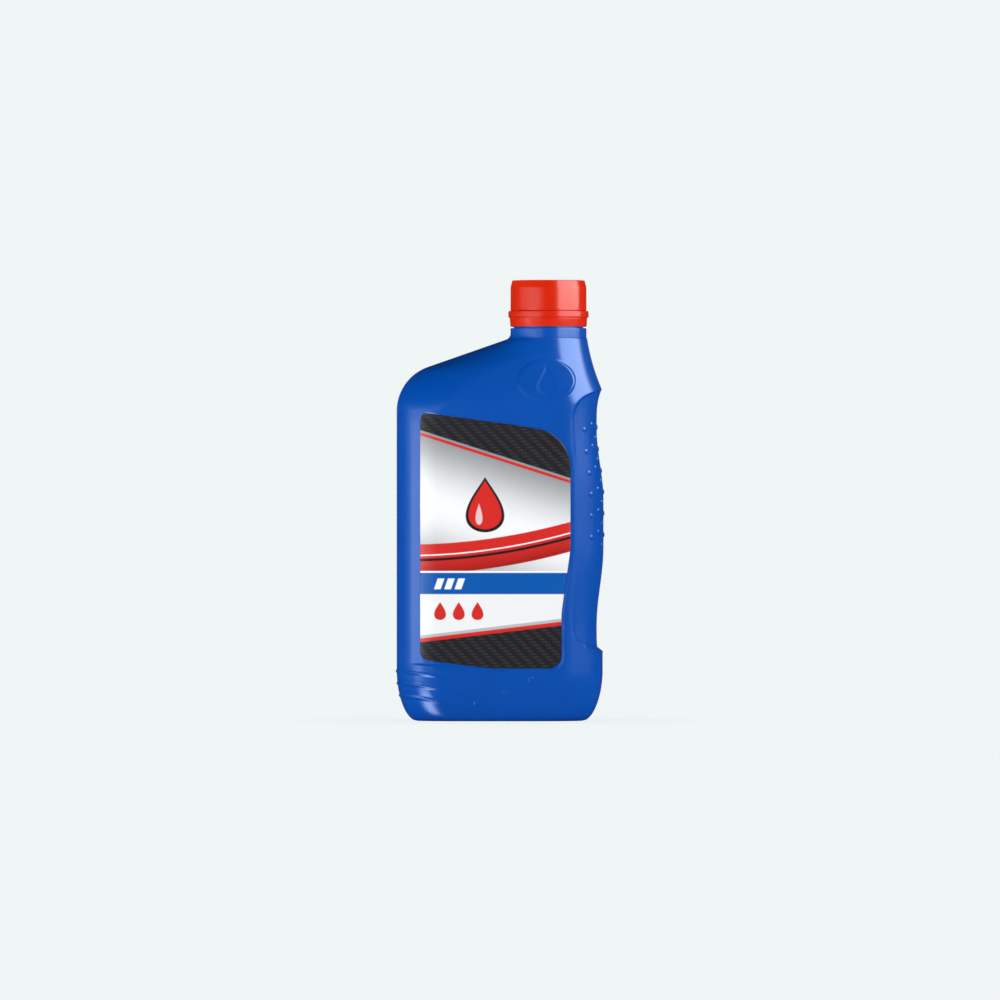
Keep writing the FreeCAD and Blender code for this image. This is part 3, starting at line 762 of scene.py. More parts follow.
def band_parts():
    """The ring under the cap and the bridges that join it to a sealed cap."""
    inner_r = GROOVE_R + SMALL_EDGE
    step_z = BEAD_BOTTOM + BAND_GAP
    corners = [(inner_r, BAND_BOTTOM, 0.1), (BAND_R - SMALL_EDGE, BAND_BOTTOM, 0.3),
               (BAND_R, BEAD_BOTTOM - 0.5, 0.3), (BAND_R, BEAD_BOTTOM, 0.1),
               (BAND_BEAD_R, BEAD_BOTTOM + SMALL_EDGE, 0.4), (BAND_BEAD_R, BAND_TOP - SMALL_EDGE, 0.5),
               (BAND_BEAD_R - SMALL_EDGE, BAND_TOP, 0.3), (BEAD_R + BAND_GAP, BAND_TOP, 0.2),
               (BEAD_R + BAND_GAP, step_z, 0.1), (BAND_LIP_R, step_z, 0.1),
               (BAND_LIP_R, BEAD_BOTTOM - BAND_LIP_HEIGHT, 0.1), (inner_r, BAND_BOTTOM + 0.9, 0.1)]
    middle = ((inner_r + BAND_R) / 2, BAND_BOTTOM)
    profile = rounded_profile([(*middle, 0)] + corners[1:] + corners[:1] + [(*middle, 0)])
    low = (NECK_X + CAP_R - BRIDGE_SIZE, -BRIDGE_SIZE / 2, BAND_TOP - BRIDGE_ROOT)
    high = (NECK_X + CAP_R, BRIDGE_SIZE / 2, HEM_Z - BRIDGE_BREAK)
    bridges = [box_part(low, high, (i + 0.5) * 2 * math.pi / BRIDGES) for i in range(BRIDGES)]
    return [turned(profile)] + bridges


def label_corners():
    """The label's outline: the panel's, moved in by the margin, with its own left edge."""
    left_panel, top_panel = PANEL_CORNERS[0][:2]
    slope = (PANEL_CORNERS[0][1] - PANEL_CORNERS[1][1]) / (PANEL_CORNERS[1][0] - left_panel)
    margin = LABEL_MARGIN
    shifts = [(-margin, slope * margin - margin), (-margin, 0.0), (-margin, 0.0), (-margin, margin),
              (0.0, margin)]
    moved = [(LABEL_LEFT, top_panel - margin - slope * (LABEL_LEFT - left_panel))]
    moved += [(corner[0] + dx, corner[1] + dz) for corner, (dx, dz) in zip(PANEL_CORNERS[1:6], shifts)]
    moved.append((LABEL_LEFT, PANEL_CORNERS[6][1] + margin))
    return [(x, z, corner[2]) for (x, z), corner in zip(moved, PANEL_CORNERS)]


def label_spans(levels, outline):
    """Left and right end of the label at each level."""
    a, b = outline, np.roll(outline, -1, axis=0)
    rise = np.where(np.abs(b[:, 1] - a[:, 1]) < 1e-9, 1e-9, b[:, 1] - a[:, 1])
    share = (levels[:, None] - a[None, :, 1]) / rise[None, :]
    x = a[None, :, 0] + share * (b - a)[None, :, 0]
    hit = (share >= -1e-9) & (share <= 1 + 1e-9)
    return np.where(hit, x, 1e9).min(1), np.where(hit, x, -1e9).max(1)


def label_part(rows=190, columns=64, end_share=0.6):
    """The film: a sheet over the label's outline that follows the panel's floor, closed by its edge."""
    outline = rounded_outline(label_corners(), steps=16)
    low, high = outline[:, 1].min(), outline[:, 1].max()
    swing = np.linspace(0, math.pi, rows)
    levels = (low + high) / 2 - np.cos(swing) * ((high - low) / 2 - 1e-4)
    left, right = label_spans(levels, outline)
    across = (1 - np.cos(np.linspace(0, math.pi, columns))) / 2
    across = end_share * across + (1 - end_share) * np.linspace(0, 1, columns)
    x = left[:, None] + (right - left)[:, None] * across[None, :]
    z = np.broadcast_to(levels[:, None], x.shape)
    outer = PANEL_DEPTH - LABEL_GAP - LABEL_THICKNESS
    sheets = [np.stack([x, -half_depth(x, z, inset, right_x), z], -1).reshape(-1, 3)
              for inset in (outer, outer + LABEL_THICKNESS)]
    index = np.arange(rows * columns).reshape(rows, columns)
    rim = np.concatenate([index[0], index[1:, -1], index[-1, -2::-1], index[-2:0:-1, 0]])
    after = np.roll(rim, -1)
    edge = np.stack([rim, rim + rows * columns, after + rows * columns, after], -1)
    front = grid_faces(rows, columns, closed=False)
    back = grid_faces(rows, columns, closed=False, flip=True) + rows * columns
    return np.concatenate(sheets), np.concatenate([front, back, edge])


# Shader helpers


def linear(colour):
    """Linear colour of a property, with full cover."""
    return (*colour[:3], 1.0)


def fill_inputs(tree, made, inputs):
    """Sets or links the inputs of a node, given by name or place."""
    for key, value in inputs.items():
        if isinstance(value, bpy.types.NodeSocket):
            tree.links.new(value, made.inputs[key])
        else:
            made.inputs[key].default_value = value


def spaced(inputs):
    """Sockets' names from keywords, with spaces for their underscores."""
    return {key.replace("_", " "): value for key, value in inputs.items()}


def node(tree, kind, inputs=None, **settings):
    """One node, with its inputs given as values or as sockets to link."""
    made = tree.nodes.new(kind)
    for name, value in settings.items():
        setattr(made, name, value)
    fill_inputs(tree, made, inputs or {})
    return made


def maths(tree, operation, *values):
    """Result of a Math node on values or sockets."""
    return node(tree, "ShaderNodeMath", dict(enumerate(values)), operation=operation).outputs[0]


def mixed(tree, mask, first, second):
    """Colour first where the mask is 0 and second where it is 1."""
    first, second = (c if isinstance(c, bpy.types.NodeSocket) else linear(c) for c in (first, second))
    return node(tree, "ShaderNodeMix", {"Factor": mask, 6: first, 7: second}, data_type="RGBA").outputs[2]


def shade(tree, mask, first, second):
    """Number first where the mask is 0 and second where it is 1."""
    return node(tree, "ShaderNodeMix", {"Factor": mask, 2: first, 3: second}).outputs[0]


def new_group(name, inputs, outputs):
    """Empty shader group; an input without a default is a vector. Returns the tree and both ends."""
    tree = bpy.data.node_groups.new(name, "ShaderNodeTree")
    for title, default in inputs.items():
        kind = "NodeSocketVector" if default is None else "NodeSocketFloat"
        socket = tree.interface.new_socket(title, in_out="INPUT", socket_type=kind)
        if default is not None:
            socket.default_value = default
    for title in outputs:
        tree.interface.new_socket(title, in_out="OUTPUT", socket_type="NodeSocketFloat")
    return tree, tree.nodes.new("NodeGroupInput").outputs, tree.nodes.new("NodeGroupOutput").inputs


def band_group():
    """Mask that is 1 where a value lies between two limits, over a soft edge."""
    tree, given, result = new_group(
        "Band mask", {"Value": 0.0, "Low": 0.0, "High": 1.0, "Softness": 0.1}, ["Mask"])
    low = maths(tree, "SUBTRACT", given["Value"], given["Low"])
    high = maths(tree, "SUBTRACT", given["High"], given["Value"])
    share = maths(tree, "MINIMUM", *(maths(tree, "DIVIDE", v, given["Softness"]) for v in (low, high)))
    clamp = node(tree, "ShaderNodeClamp", {"Value": maths(tree, "ADD", share, 0.5)})
    tree.links.new(clamp.outputs[0], result["Mask"])
    return tree


def drop_group():
    """Mask of a drop whose half width is its size times t to the 0.5 times (1 - t) to the 1.2."""
    tree, given, result = new_group(
        "Drop mask", {"X": 0.0, "Z": 0.0, "Centre X": 0.0, "Foot Z": 0.0, "Height": 30.0, "Width": 20.0,
                      "Softness": 0.3}, ["Mask"])
    t = maths(tree, "DIVIDE", maths(tree, "SUBTRACT", given["Z"], given["Foot Z"]), given["Height"])
    inside = node(tree, "ShaderNodeClamp", {"Value": t}).outputs[0]
    left = maths(tree, "SUBTRACT", 1.0, inside)
    width = maths(tree, "MULTIPLY", maths(tree, "POWER", inside, 0.5), maths(tree, "POWER", left, 1.2))
    width = maths(tree, "MULTIPLY", maths(tree, "MULTIPLY", width, given["Width"]), 1.4)
    away = maths(tree, "ABSOLUTE", maths(tree, "SUBTRACT", given["X"], given["Centre X"]))
    edge = maths(tree, "DIVIDE", maths(tree, "SUBTRACT", width, away), given["Softness"])
    clamp = node(tree, "ShaderNodeClamp", {"Value": edge})
    tree.links.new(clamp.outputs[0], result["Mask"])
    return tree


def weave_group():
    """Dark twill: short diagonal strips that run across and along by turns, each lit on its crown."""
    tree, given, result = new_group("Twill weave", {"X": 0.0, "Z": 0.0, "Cell": 1.6}, ["Light"])
    cells = [maths(tree, "DIVIDE", given[axis], given["Cell"]) for axis in ("X", "Z")]
    count = maths(tree, "ADD", *(maths(tree, "FLOOR", cell) for cell in cells))
    stagger = maths(tree, "FRACT", maths(tree, "MULTIPLY", count, 0.25))
    over = maths(tree, "LESS_THAN", stagger, 0.49)
    crown_x, crown_z = [
        maths(tree, "SINE", maths(tree, "MULTIPLY", maths(tree, "FRACT", cell), math.pi)) for cell in cells]
    tree.links.new(shade(tree, over, maths(tree, "MULTIPLY", crown_x, 0.45), crown_z), result["Light"])
    return tree


def grain_group():
    """Fine moulded grain and slow unevenness, as a height and as a shade."""
    tree, given, result = new_group(
        "Moulded grain", {"Vector": None, "Grain scale": 2600.0, "Wave scale": 45.0, "Wave share": 0.6},
        ["Height", "Shade"])
    fine, slow = [
        node(tree, "ShaderNodeTexNoise", {"Vector": given["Vector"], "Scale": given[scale],
                                          "Detail": detail})
        for scale, detail in (("Grain scale", 2.0), ("Wave scale", 1.0))]
    tree.links.new(shade(tree, given["Wave share"], fine.outputs[0], slow.outputs[0]), result["Height"])
    tree.links.new(slow.outputs[0], result["Shade"])
    return tree


GROUP_MAKERS = {"Band mask": band_group, "Drop mask": drop_group, "Twill weave": weave_group,
                "Moulded grain": grain_group}


def use(tree, name, **inputs):
    """A shared group, made at its first use, with its named inputs set or linked."""
    shared = bpy.data.node_groups.get(name) or GROUP_MAKERS[name]()
    return node(tree, "ShaderNodeGroup", node_tree=shared, inputs=spaced(inputs)).outputs


def new_material(name, **constants):
    """Material with one Principled shader whose plain numbers are set on its own sockets."""
    material = bpy.data.materials.new(name)
    material.use_nodes = True
    tree = material.node_tree
    shader = tree.nodes["Principled BSDF"]
    fill_inputs(tree, shader, spaced(constants))
    coordinates = tree.nodes.new("ShaderNodeTexCoord").outputs["Object"]
    return material, tree, shader, coordinates


def add_shades(tree, shader, mask, colour, low, high):
    """Base colour that goes from one share of a colour to another with a mask."""
    base = np.array(colour[:3])
    tree.links.new(mixed(tree, mask, base * low, base * high), shader.inputs["Base Color"])


def add_bump(tree, shader, height, strength, distance):
    """Bump from a height onto the shader's normal."""
    bump = node(tree, "ShaderNodeBump", {"Height": height, "Strength": strength, "Distance": distance})
    tree.links.new(bump.outputs[0], shader.inputs["Normal"])


# Materials

SHEEN_TINT = (0.62, 0.8, 1.0, 1.0)       # the photo's highlights on the bottle are bluish
SEAM_HALF_WIDTH = 0.00012                # in metres
SEAM_SOFTNESS = 0.0002
CAP_TOP_ROUGHNESS = 0.85
CAP_TOP_FACE = 0.2                       # in millimetres down from its top


def bottle_material(settings):
    """Satin blown polyethylene: fine grain, a faint parting line and slow changes of shade."""
    material, tree, shader, place = new_material(
        "Blue polyethylene", Roughness=settings.roughness, Specular_IOR_Level=1.0,
        Specular_Tint=SHEEN_TINT)
    grain = use(tree, "Moulded grain", Vector=place, Wave_share=0.25)
    add_shades(tree, shader, grain["Shade"], settings.colour, 0.93, 1.07)
    depth = node(tree, "ShaderNodeSeparateXYZ", {0: place}).outputs["Y"]
    seam = use(tree, "Band mask", Value=depth, Low=-SEAM_HALF_WIDTH, High=SEAM_HALF_WIDTH,
               Softness=SEAM_SOFTNESS)["Mask"]
    height = maths(tree, "MULTIPLY", maths(tree, "ADD", grain["Height"], seam), 0.5)
    add_bump(tree, shader, height, 0.25, 0.0001)
    return material


def cap_material(settings):
    """Red polypropylene, a little glossier than the bottle."""
    material, tree, shader, place = new_material("Red polypropylene", Specular_IOR_Level=0.55)
    height = node(tree, "ShaderNodeSeparateXYZ", {0: place}).outputs["Z"]
    top = maths(tree, "GREATER_THAN", height, (CAP_TOP - CAP_TOP_FACE) * MM)
    tree.links.new(shade(tree, top, settings.roughness, CAP_TOP_ROUGHNESS), shader.inputs["Roughness"])
    grain = use(tree, "Moulded grain", Vector=place, Grain_scale=3400.0, Wave_share=0.2)
    add_shades(tree, shader, grain["Shade"], settings.colour, 0.94, 1.05)
    add_bump(tree, shader, grain["Height"], 0.2, 0.0001)
    return material


def oil_material(settings):
    """Amber oil with a smooth, wet surface."""
    material, tree, shader, place = new_material("Amber oil", Roughness=0.06, IOR=1.47)
    cloud = use(tree, "Moulded grain", Vector=place, Wave_scale=18.0)
    add_shades(tree, shader, cloud["Shade"], settings.colour, 0.8, 1.15)
    return material


def liner_material(settings):
    """Pale closed-cell foam."""
    material, tree, shader, place = new_material("Liner foam", Roughness=0.75)
    cells = node(tree, "ShaderNodeTexVoronoi", {"Vector": place, "Scale": 1400.0}).outputs["Distance"]
    add_shades(tree, shader, cells, settings.colour, 0.9, 1.0)
    add_bump(tree, shader, cells, 0.4, 0.0002)
    return material


# Label art in millimetres: bands (low, high) or (low, high, ink), drops (x, foot z, height, width, ink)

FAR = 400.0
INK_EDGE = 0.35
FIELD_TILT = 0.32          # z + tilt * x is level along the field's diagonals
SHEEN_RATE = 0.075
WEDGE = (142.0, FAR)
WEDGE_LINE = (139.2, 140.8)
LARGE_DROP = [(-8.0, 101.0, 30.0, 21.0, "dark"), (-8.0, 102.6, 26.5, 18.0, "red"),
              (-11.2, 105.0, 12.0, 4.0, "glint")]
SWEEP_BOW = (0.012, 0.6, 11.0)           # the sweep rises by c * (a * x + b) squared
SWEEP_GLOW = (0.07, -5.1)
SWEEP_BANDS = [(78.6, 94.5, "sweep"), (85.4, 86.8, "dark"), (88.2, 88.9, "white")]
LEVEL_BANDS = [(-FAR, 80.4, "white"), (-FAR, 79.4, "blue")]
BAR_SLANT = -0.35
BAR_LEFTS = (-60.0, -54.5, -49.0)
BAR_WIDTH = 3.6
BAR_LEVELS = (70.6, 76.4)
LOW_FIELD = (-FAR, 68.0)
FOOT_TILT = -0.12
FOOT_BANDS = [(-FAR, 51.0, "silver"), (-FAR, 49.4, "red"), (-FAR, 47.4, "twill")]
SMALL_DROPS = [(x, 54.2, 10.0, 6.6, "red") for x in (-32.0, -22.0, -12.0)]


def band_of(tree, value, low, high):
    """Mask of a band between two limits, in millimetres."""
    return use(tree, "Band mask", Value=value, Low=low, High=high, Softness=INK_EDGE)["Mask"]


def print_bands(tree, art, value, bands, inks):
    """Bands (low, high, ink) of a value, laid over the art one after another."""
    for low, high, ink in bands:
        art = mixed(tree, band_of(tree, value, low, high), art, inks[ink])
    return art


def print_drops(tree, art, x, z, drops, inks):
    """Drops (centre x, foot z, height, width, ink), laid over the art one after another."""
    for centre, foot, height, width, ink in drops:
        mask = use(tree, "Drop mask", X=x, Z=z, Centre_X=centre, Foot_Z=foot, Height=height, Width=width)
        art = mixed(tree, mask["Mask"], art, inks[ink])
    return art


def label_inks(tree, x, z, settings):
    """Plain inks of the settings, with the twill, the drop's glint and the lower field's paler white."""
    inks = {name: np.array(getattr(settings, name)[:3])
            for name in ("silver", "dark", "red", "blue", "white")}
    weave = use(tree, "Twill weave", X=x, Z=z)["Light"]
    inks["twill"] = mixed(tree, weave, inks["dark"] * 0.5, inks["dark"] * 3.2)
    inks["glint"] = inks["red"] * 0.35 + inks["white"] * 0.6
    inks["paler"] = inks["white"] * 0.94
    return inks


def label_material(settings):
    """Printed film: silver field, dark twill, red sweep, blue band and drops, all from formulas."""
    material, tree, shader, place = new_material("Printed film", Roughness=0.3, Coat_Weight=0.25,
                                                 Coat_Roughness=0.12)
    scaled = node(tree, "ShaderNodeVectorMath", {0: place, "Scale": 1 / MM}, operation="SCALE").outputs[0]
    axes = node(tree, "ShaderNodeSeparateXYZ", {0: scaled}).outputs
    x, z = axes["X"], axes["Z"]
    inks = label_inks(tree, x, z, settings)

    tilt = maths(tree, "MULTIPLY_ADD", x, FIELD_TILT, z)
    sheen = maths(tree, "SINE", maths(tree, "MULTIPLY", tilt, SHEEN_RATE))
    art = mixed(tree, maths(tree, "MULTIPLY_ADD", sheen, 0.5, 0.5), inks["silver"] * 0.55, inks["white"])
    art = print_bands(tree, art, tilt, [(*WEDGE, "twill"), (*WEDGE_LINE, "red")], inks)
    art = print_drops(tree, art, x, z, LARGE_DROP, inks)

    bow = maths(tree, "POWER", maths(tree, "MULTIPLY_ADD", x, *SWEEP_BOW[:2]), 2.0)
    sweep = maths(tree, "SUBTRACT", z, maths(tree, "MULTIPLY", bow, SWEEP_BOW[2]))
    glow = maths(tree, "MULTIPLY_ADD", sweep, *SWEEP_GLOW)
    inks["sweep"] = mixed(tree, glow, inks["red"] * 0.25, inks["red"])
    art = print_bands(tree, art, sweep, SWEEP_BANDS, inks)
    art = print_bands(tree, art, z, LEVEL_BANDS, inks)

    slant = maths(tree, "MULTIPLY_ADD", z, BAR_SLANT, x)
    for left in BAR_LEFTS:
        bar = maths(tree, "MULTIPLY", band_of(tree, slant, left, left + BAR_WIDTH),
                    band_of(tree, z, *BAR_LEVELS))
        art = mixed(tree, bar, art, inks["white"])
    art = print_bands(tree, art, z, [(*LOW_FIELD, "paler")], inks)
    art = print_bands(tree, art, maths(tree, "MULTIPLY_ADD", x, FOOT_TILT, z), FOOT_BANDS, inks)
    art = print_drops(tree, art, x, z, SMALL_DROPS, inks)

    tree.links.new(art, shader.inputs["Base Color"])
    grain = use(tree, "Moulded grain", Vector=place, Grain_scale=1800.0, Wave_scale=70.0, Wave_share=0.7)
    add_bump(tree, shader, grain["Height"], 0.08, 0.0001)
    return material


# Stage: softboxes are (azimuth, distance, low, high, width), in degrees and metres

SOFTBOXES = {"key": (65.0, 0.27, 0.219, 0.7, 0.4), "side": (-63.0, 0.37, -0.04, 0.172, 0.13),
             "low side": (-53.0, 0.365, -0.5, -0.09, 0.15), "cap side": (-41.0, 0.35, 0.195, 0.24, 0.33)}
FILL_AZIMUTHS = [(-62.0, 0.35), (62.0, 0.35), (180.0, 0.3)]        # with their shares of the power
FILL_PLACE = (2.0, 0.0, 0.65, 2.8)
WORLD_FADE = (0.05, 0.7)                 # the light falls between these heights of a direction
WORLD_TOP_SHARE = 0.15
TOP_LAMP_RISE = 90.0
TOP_LAMP_SPREAD = math.radians(12)
FLOOR_RINGS = [0.0, 0.4, 1.5, 9.0]
FLOOR_SIDES = 96
FLOOR_GLOW_RUN = (0.05, 0.15)
SENSOR_WIDTH = 36.0
VIEW_END = 60.0


def studio_world(settings):
    """Soft light that is strongest round the horizon, and a pale background for the camera."""
    world = bpy.data.worlds.new("Studio")
    bpy.context.scene.world = world
    world.use_nodes = True
    tree = world.node_tree
    background = tree.nodes["Background"]
    way = tree.nodes.new("ShaderNodeTexCoord").outputs["Generated"]
    rise = node(tree, "ShaderNodeSeparateXYZ", {0: way}).outputs["Z"]
    up = node(tree, "ShaderNodeMapRange", {
        0: rise, 1: WORLD_FADE[0], 2: WORLD_FADE[1], 3: settings.ambient,
        4: settings.ambient * WORLD_TOP_SHARE}).outputs[0]
    rays = tree.nodes.new("ShaderNodeLightPath").outputs
    strength = shade(tree, rays["Is Glossy Ray"], up, maths(tree, "MULTIPLY", up, settings.glossy_share))
    tree.links.new(shade(tree, rays["Is Camera Ray"], strength, 1.0), background.inputs["Strength"])
    colour = mixed(tree, rays["Is Camera Ray"], (1.0, 1.0, 1.0), settings.backdrop)
    tree.links.new(colour, background.inputs["Color"])


def area_lamp(name, shape, width, height, power, location):
    """Area light that the camera doesn't see."""
    light = bpy.data.lights.new(name, "AREA")
    light.shape = shape
    light.size = width
    light.size_y = height
    light.energy = power
    lamp = placed(name, light)
    lamp.location = location
    lamp.visible_camera = False
    return lamp


def softbox(name, azimuth, distance, low, high, width, power, glossy=True):
    """Light that faces the neck's axis from an azimuth: it makes either highlights or plain light."""
    angle = math.radians(azimuth)
    place = (NECK_X * MM + distance * math.sin(angle), -distance * math.cos(angle), (low + high) / 2)
    lamp = area_lamp(name, "RECTANGLE", width, high - low, power, place)
    lamp.rotation_euler = (math.pi / 2, 0.0, angle)
    lamp.visible_glossy = glossy
    lamp.visible_diffuse = not glossy


def top_lamp(power):
    """Narrow lamp straight above the cap, as wide as its top."""
    size = 2 * CAP_R * MM
    lamp = area_lamp("top", "DISK", size, size, power, (NECK_X * MM, 0.0, (CAP_TOP + TOP_LAMP_RISE) * MM))
    lamp.data.spread = TOP_LAMP_SPREAD
    lamp.visible_glossy = False


def floor(settings):
    """Pale floor that keeps the bottle's shadow."""
    angle = full_turn(FLOOR_SIDES)
    radius = np.array(FLOOR_RINGS)[:, None]
    points = np.stack([radius * np.cos(angle), radius * np.sin(angle), 0 * radius * angle], -1)
    material = bpy.data.materials.new("Pale floor")
    material.use_nodes = True
    tree = material.node_tree
    tree.nodes.remove(tree.nodes["Principled BSDF"])
    diffuse = node(tree, "ShaderNodeBsdfDiffuse", {"Color": linear(settings.backdrop)})
    glow = node(tree, "ShaderNodeEmission", {"Color": linear(settings.backdrop), "Strength": 1.0})
    rays = tree.nodes.new("ShaderNodeLightPath").outputs["Is Camera Ray"]
    place = tree.nodes.new("ShaderNodeTexCoord").outputs["Object"]
    away = node(tree, "ShaderNodeVectorMath", {0: place}, operation="LENGTH").outputs["Value"]
    far = node(tree, "ShaderNodeMapRange", {0: away, 1: FLOOR_GLOW_RUN[0], 2: FLOOR_GLOW_RUN[1],
                                            3: settings.floor_glow, 4: 1.0},
               interpolation_type="SMOOTHSTEP")
    share = maths(tree, "MULTIPLY", rays, far.outputs[0])
    mix = node(tree, "ShaderNodeMixShader", {0: share})
    tree.links.new(diffuse.outputs[0], mix.inputs[1])
    tree.links.new(glow.outputs[0], mix.inputs[2])
    tree.links.new(mix.outputs[0], tree.nodes["Material Output"].inputs["Surface"])
    faces = grid_faces(len(FLOOR_RINGS), FLOOR_SIDES, flip=True)
    ground = merged_object("floor", points.reshape(-1, 3), faces.tolist(), material)
    ground.visible_glossy = False


def camera(settings):
    """Long lens straight at the label, framed as the photograph is."""
    data = bpy.data.cameras.new("Camera")
    data.sensor_width = SENSOR_WIDTH
    data.lens = SENSOR_WIDTH * settings.distance / settings.frame_width
    data.clip_end = VIEW_END
    eye = placed("Camera", data)
    eye.location = (0.0, -settings.distance, settings.eye_height)
    eye.rotation_euler = (math.pi / 2, 0.0, 0.0)
    bpy.context.scene.camera = eye


# Settings


def colour_property(name, description, default):
    """Colour without alpha."""
    return bpy.props.FloatVectorProperty(name=name, description=description, subtype="COLOR", size=3,
                                         min=0.0, max=1.0, default=default)


def share_property(name, description, default):
    """Number from 0 to 1."""
    return bpy.props.FloatProperty(name=name, description=description, default=default,
                                   min=0.0, max=1.0, subtype="FACTOR")


def length_property(name, description, default):
    """Length in metres."""
    return bpy.props.FloatProperty(name=name, description=description, default=default,
                                   min=0.0001, unit="LENGTH")


def power_property(name, description, default):
    """Power of a lamp in watts."""
    return bpy.props.FloatProperty(name=name, description=description, default=default,
                                   min=0.0, unit="POWER")


class BottleSettings(bpy.types.PropertyGroup):
    colour: colour_property("Colour", "Colour of the bottle's plastic", (0.0, 0.067, 0.38))
    roughness: share_property("Roughness", "Roughness of the plastic", 0.25)
    panel_edge: length_property("Panel edge", "Width of the label panel's soft edge", 0.0016)
    grip_edge: length_property("Grip edge", "Width of the grip's soft edge", 0.0018)


class CapSettings(bpy.types.PropertyGroup):
    colour: colour_property("Colour", "Colour of the cap and its band", (0.6, 0.017, 0.001))
    roughness: share_property("Roughness", "Roughness of the cap's side", 0.2)


class OilSettings(bpy.types.PropertyGroup):
    colour: colour_property("Colour", "Colour of the oil", (0.5, 0.2, 0.02))


class LinerSettings(bpy.types.PropertyGroup):
    colour: colour_property("Colour", "Colour of the liner's foam", (0.8, 0.8, 0.78))


class LabelSettings(bpy.types.PropertyGroup):
    silver: colour_property("Silver", "Grey of the silver field", (0.45, 0.47, 0.5))
    white: colour_property("White", "White of the field and lines", (0.85, 0.86, 0.88))
    dark: colour_property("Dark", "Colour of the twill and outlines", (0.012, 0.012, 0.014))
    red: colour_property("Red", "Red of the sweep and drops", (0.62, 0.02, 0.015))
    blue: colour_property("Blue", "Blue of the lower band", (0.0, 0.09, 0.39))


class StageSettings(bpy.types.PropertyGroup):
    backdrop: colour_property("Backdrop", "Colour of floor and background", (0.871, 0.913, 0.913))
    ambient: bpy.props.FloatProperty(name="Ambient", description="Strength of the light round the horizon",
                                     default=0.12, min=0.0)
    glossy_share: share_property("Glossy share", "Share of it that gloss reflects", 0.2)
    key_power: power_property("Key", "Power of the softbox high on the right", 3.4)
    side_power: power_property("Side", "Power of the softbox on the left", 0.15)
    low_power: power_property("Low side", "Power of the softbox under the left one", 1.2)
    cap_power: power_property("Cap side", "Power of the small softbox level with the band", 0.035)
    top_power: power_property("Top", "Power of the narrow lamp above the cap", 0.004)
    fill_power: power_property("Fill", "Power of the broad lights all round", 150.0)
    floor_glow: share_property("Floor glow", "Share of plain colour in the floor's look", 0.93)
    distance: length_property("Distance", "From the camera to the bottle's middle", 6.0)
    frame_width: length_property("Frame width", "Width of the view at the bottle", 0.53636)
    eye_height: length_property("Eye height", "Height of the camera", 0.11827)


# Operators


class BOTTLE_OT_body(bpy.types.Operator):
    """Makes the moulded bottle with its neck and studs"""
    bl_idname = "oil_bottle.body"
    bl_label = "Make bottle"

    def execute(self, context):
        settings = context.scene.bottle_settings
        material = bottle_material(settings)
        neck = [neck_part(), helix(NECK_R, NECK_R + THREAD_DEPTH, HEM_Z + THREAD_START)]
        for name, parts in (("bottle_body", bottle_body_parts(settings)), ("bottle_neck", neck),
                            ("bottle_studs", stud_parts())):
            make_piece(name, parts, "bottle", "bottle_shell", material)
        return {"FINISHED"}


class BOTTLE_OT_cap(bpy.types.Operator):
    """Makes the screw cap and the tamper band"""
    bl_idname = "oil_bottle.cap"
    bl_label = "Make cap and band"

    def execute(self, context):
        material = cap_material(context.scene.cap_settings)
        make_piece("cap_shell", cap_parts(), "cap", "screw_cap", material)
        make_piece("band_ring", band_parts(), "bottle", "tamper_band", material)
        return {"FINISHED"}


class BOTTLE_OT_label(bpy.types.Operator):
    """Makes the printed label"""
    bl_idname = "oil_bottle.label"
    bl_label = "Make label"

    def execute(self, context):
        material = label_material(context.scene.label_settings)
        make_piece("label_film", [label_part()], "bottle", "front_label", material)
        return {"FINISHED"}


class BOTTLE_OT_contents(bpy.types.Operator):
    """Gives the oil and the liner their materials"""
    bl_idname = "oil_bottle.contents"
    bl_label = "Finish oil and liner"

    def execute(self, context):
        scene = context.scene
        for name, material in (("oil", oil_material(scene.oil_settings)),
                               ("cap_liner", liner_material(scene.liner_settings))):
            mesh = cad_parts[name].data
            mesh.materials.clear()
            mesh.materials.append(material)
        return {"FINISHED"}


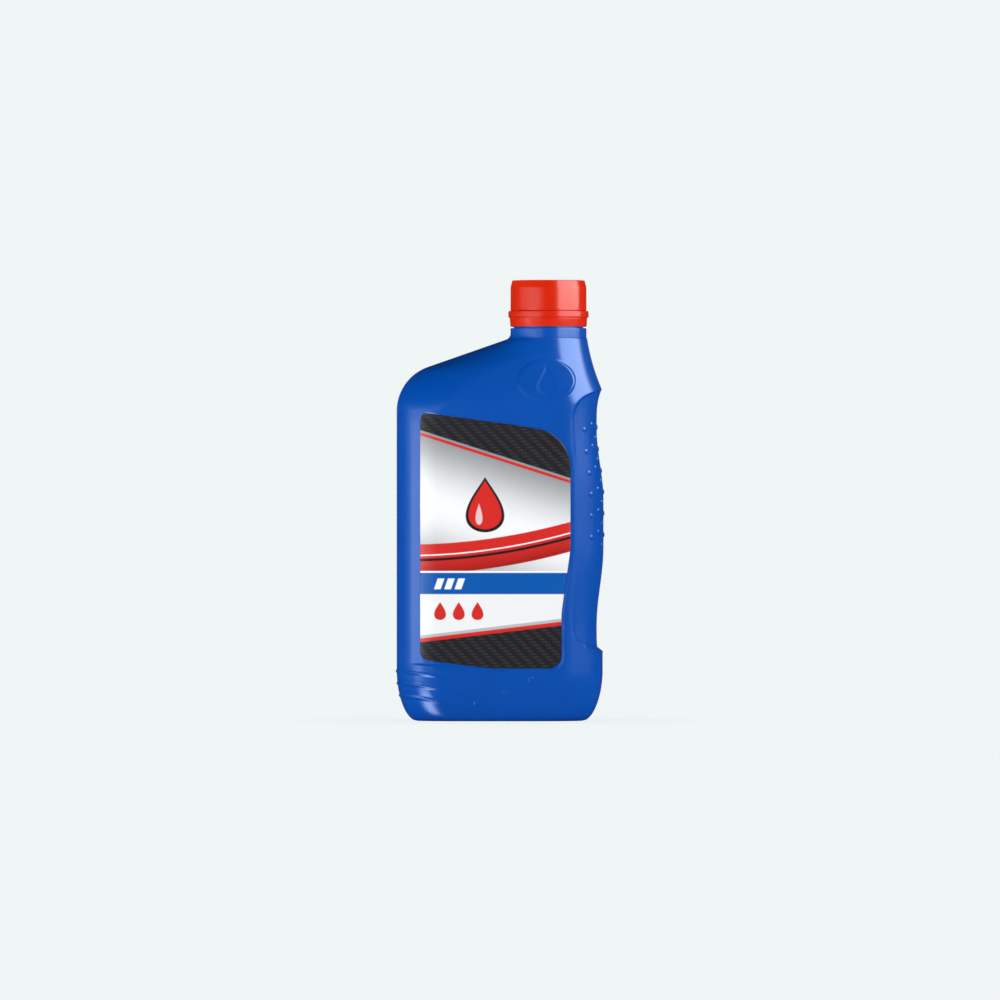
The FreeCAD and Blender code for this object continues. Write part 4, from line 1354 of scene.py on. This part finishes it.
class BOTTLE_OT_stage(bpy.types.Operator):
    """Makes the floor, the light and the camera"""
    bl_idname = "oil_bottle.stage"
    bl_label = "Make stage"

    def execute(self, context):
        settings = context.scene.stage_settings
        context.scene.view_settings.view_transform = "Standard"
        studio_world(settings)
        powers = (settings.key_power, settings.side_power, settings.low_power, settings.cap_power)
        for (name, place), power in zip(SOFTBOXES.items(), powers):
            softbox(name, *place, power)
        for azimuth, share in FILL_AZIMUTHS:
            softbox("fill", azimuth, *FILL_PLACE, settings.fill_power * share, glossy=False)
        top_lamp(settings.top_power)
        floor(settings)
        camera(settings)
        return {"FINISHED"}


OPERATORS = (BOTTLE_OT_body, BOTTLE_OT_cap, BOTTLE_OT_label, BOTTLE_OT_contents, BOTTLE_OT_stage)
GROUPS = {"bottle_settings": BottleSettings, "cap_settings": CapSettings, "oil_settings": OilSettings,
          "liner_settings": LinerSettings, "label_settings": LabelSettings, "stage_settings": StageSettings}


class BOTTLE_PT_panel(bpy.types.Panel):
    """Steps that dress the oil bottle"""
    bl_idname = "BOTTLE_PT_panel"
    bl_label = "Oil bottle"
    bl_space_type = "VIEW_3D"
    bl_region_type = "UI"
    bl_category = "Oil bottle"

    def draw(self, context):
        for operator in OPERATORS:
            self.layout.operator(operator.bl_idname)
        for name, settings in GROUPS.items():
            box = self.layout.box()
            for key in settings.__annotations__:
                box.prop(getattr(context.scene, name), key)


def register():
    """Registers the classes and gives the scene its settings."""
    for cls in (*GROUPS.values(), *OPERATORS, BOTTLE_PT_panel):
        bpy.utils.register_class(cls)
    for name, settings in GROUPS.items():
        setattr(bpy.types.Scene, name, bpy.props.PointerProperty(type=settings))


def unregister():
    """Takes both away again."""
    for name in GROUPS:
        delattr(bpy.types.Scene, name)
    for cls in (BOTTLE_PT_panel, *OPERATORS, *GROUPS.values()):
        bpy.utils.unregister_class(cls)


def main():
    """Makes the pieces and the stage."""
    register()
    bpy.ops.oil_bottle.body()
    bpy.ops.oil_bottle.cap()
    bpy.ops.oil_bottle.label()
    bpy.ops.oil_bottle.contents()
    bpy.ops.oil_bottle.stage()


if __name__ == "__main__":
    main()
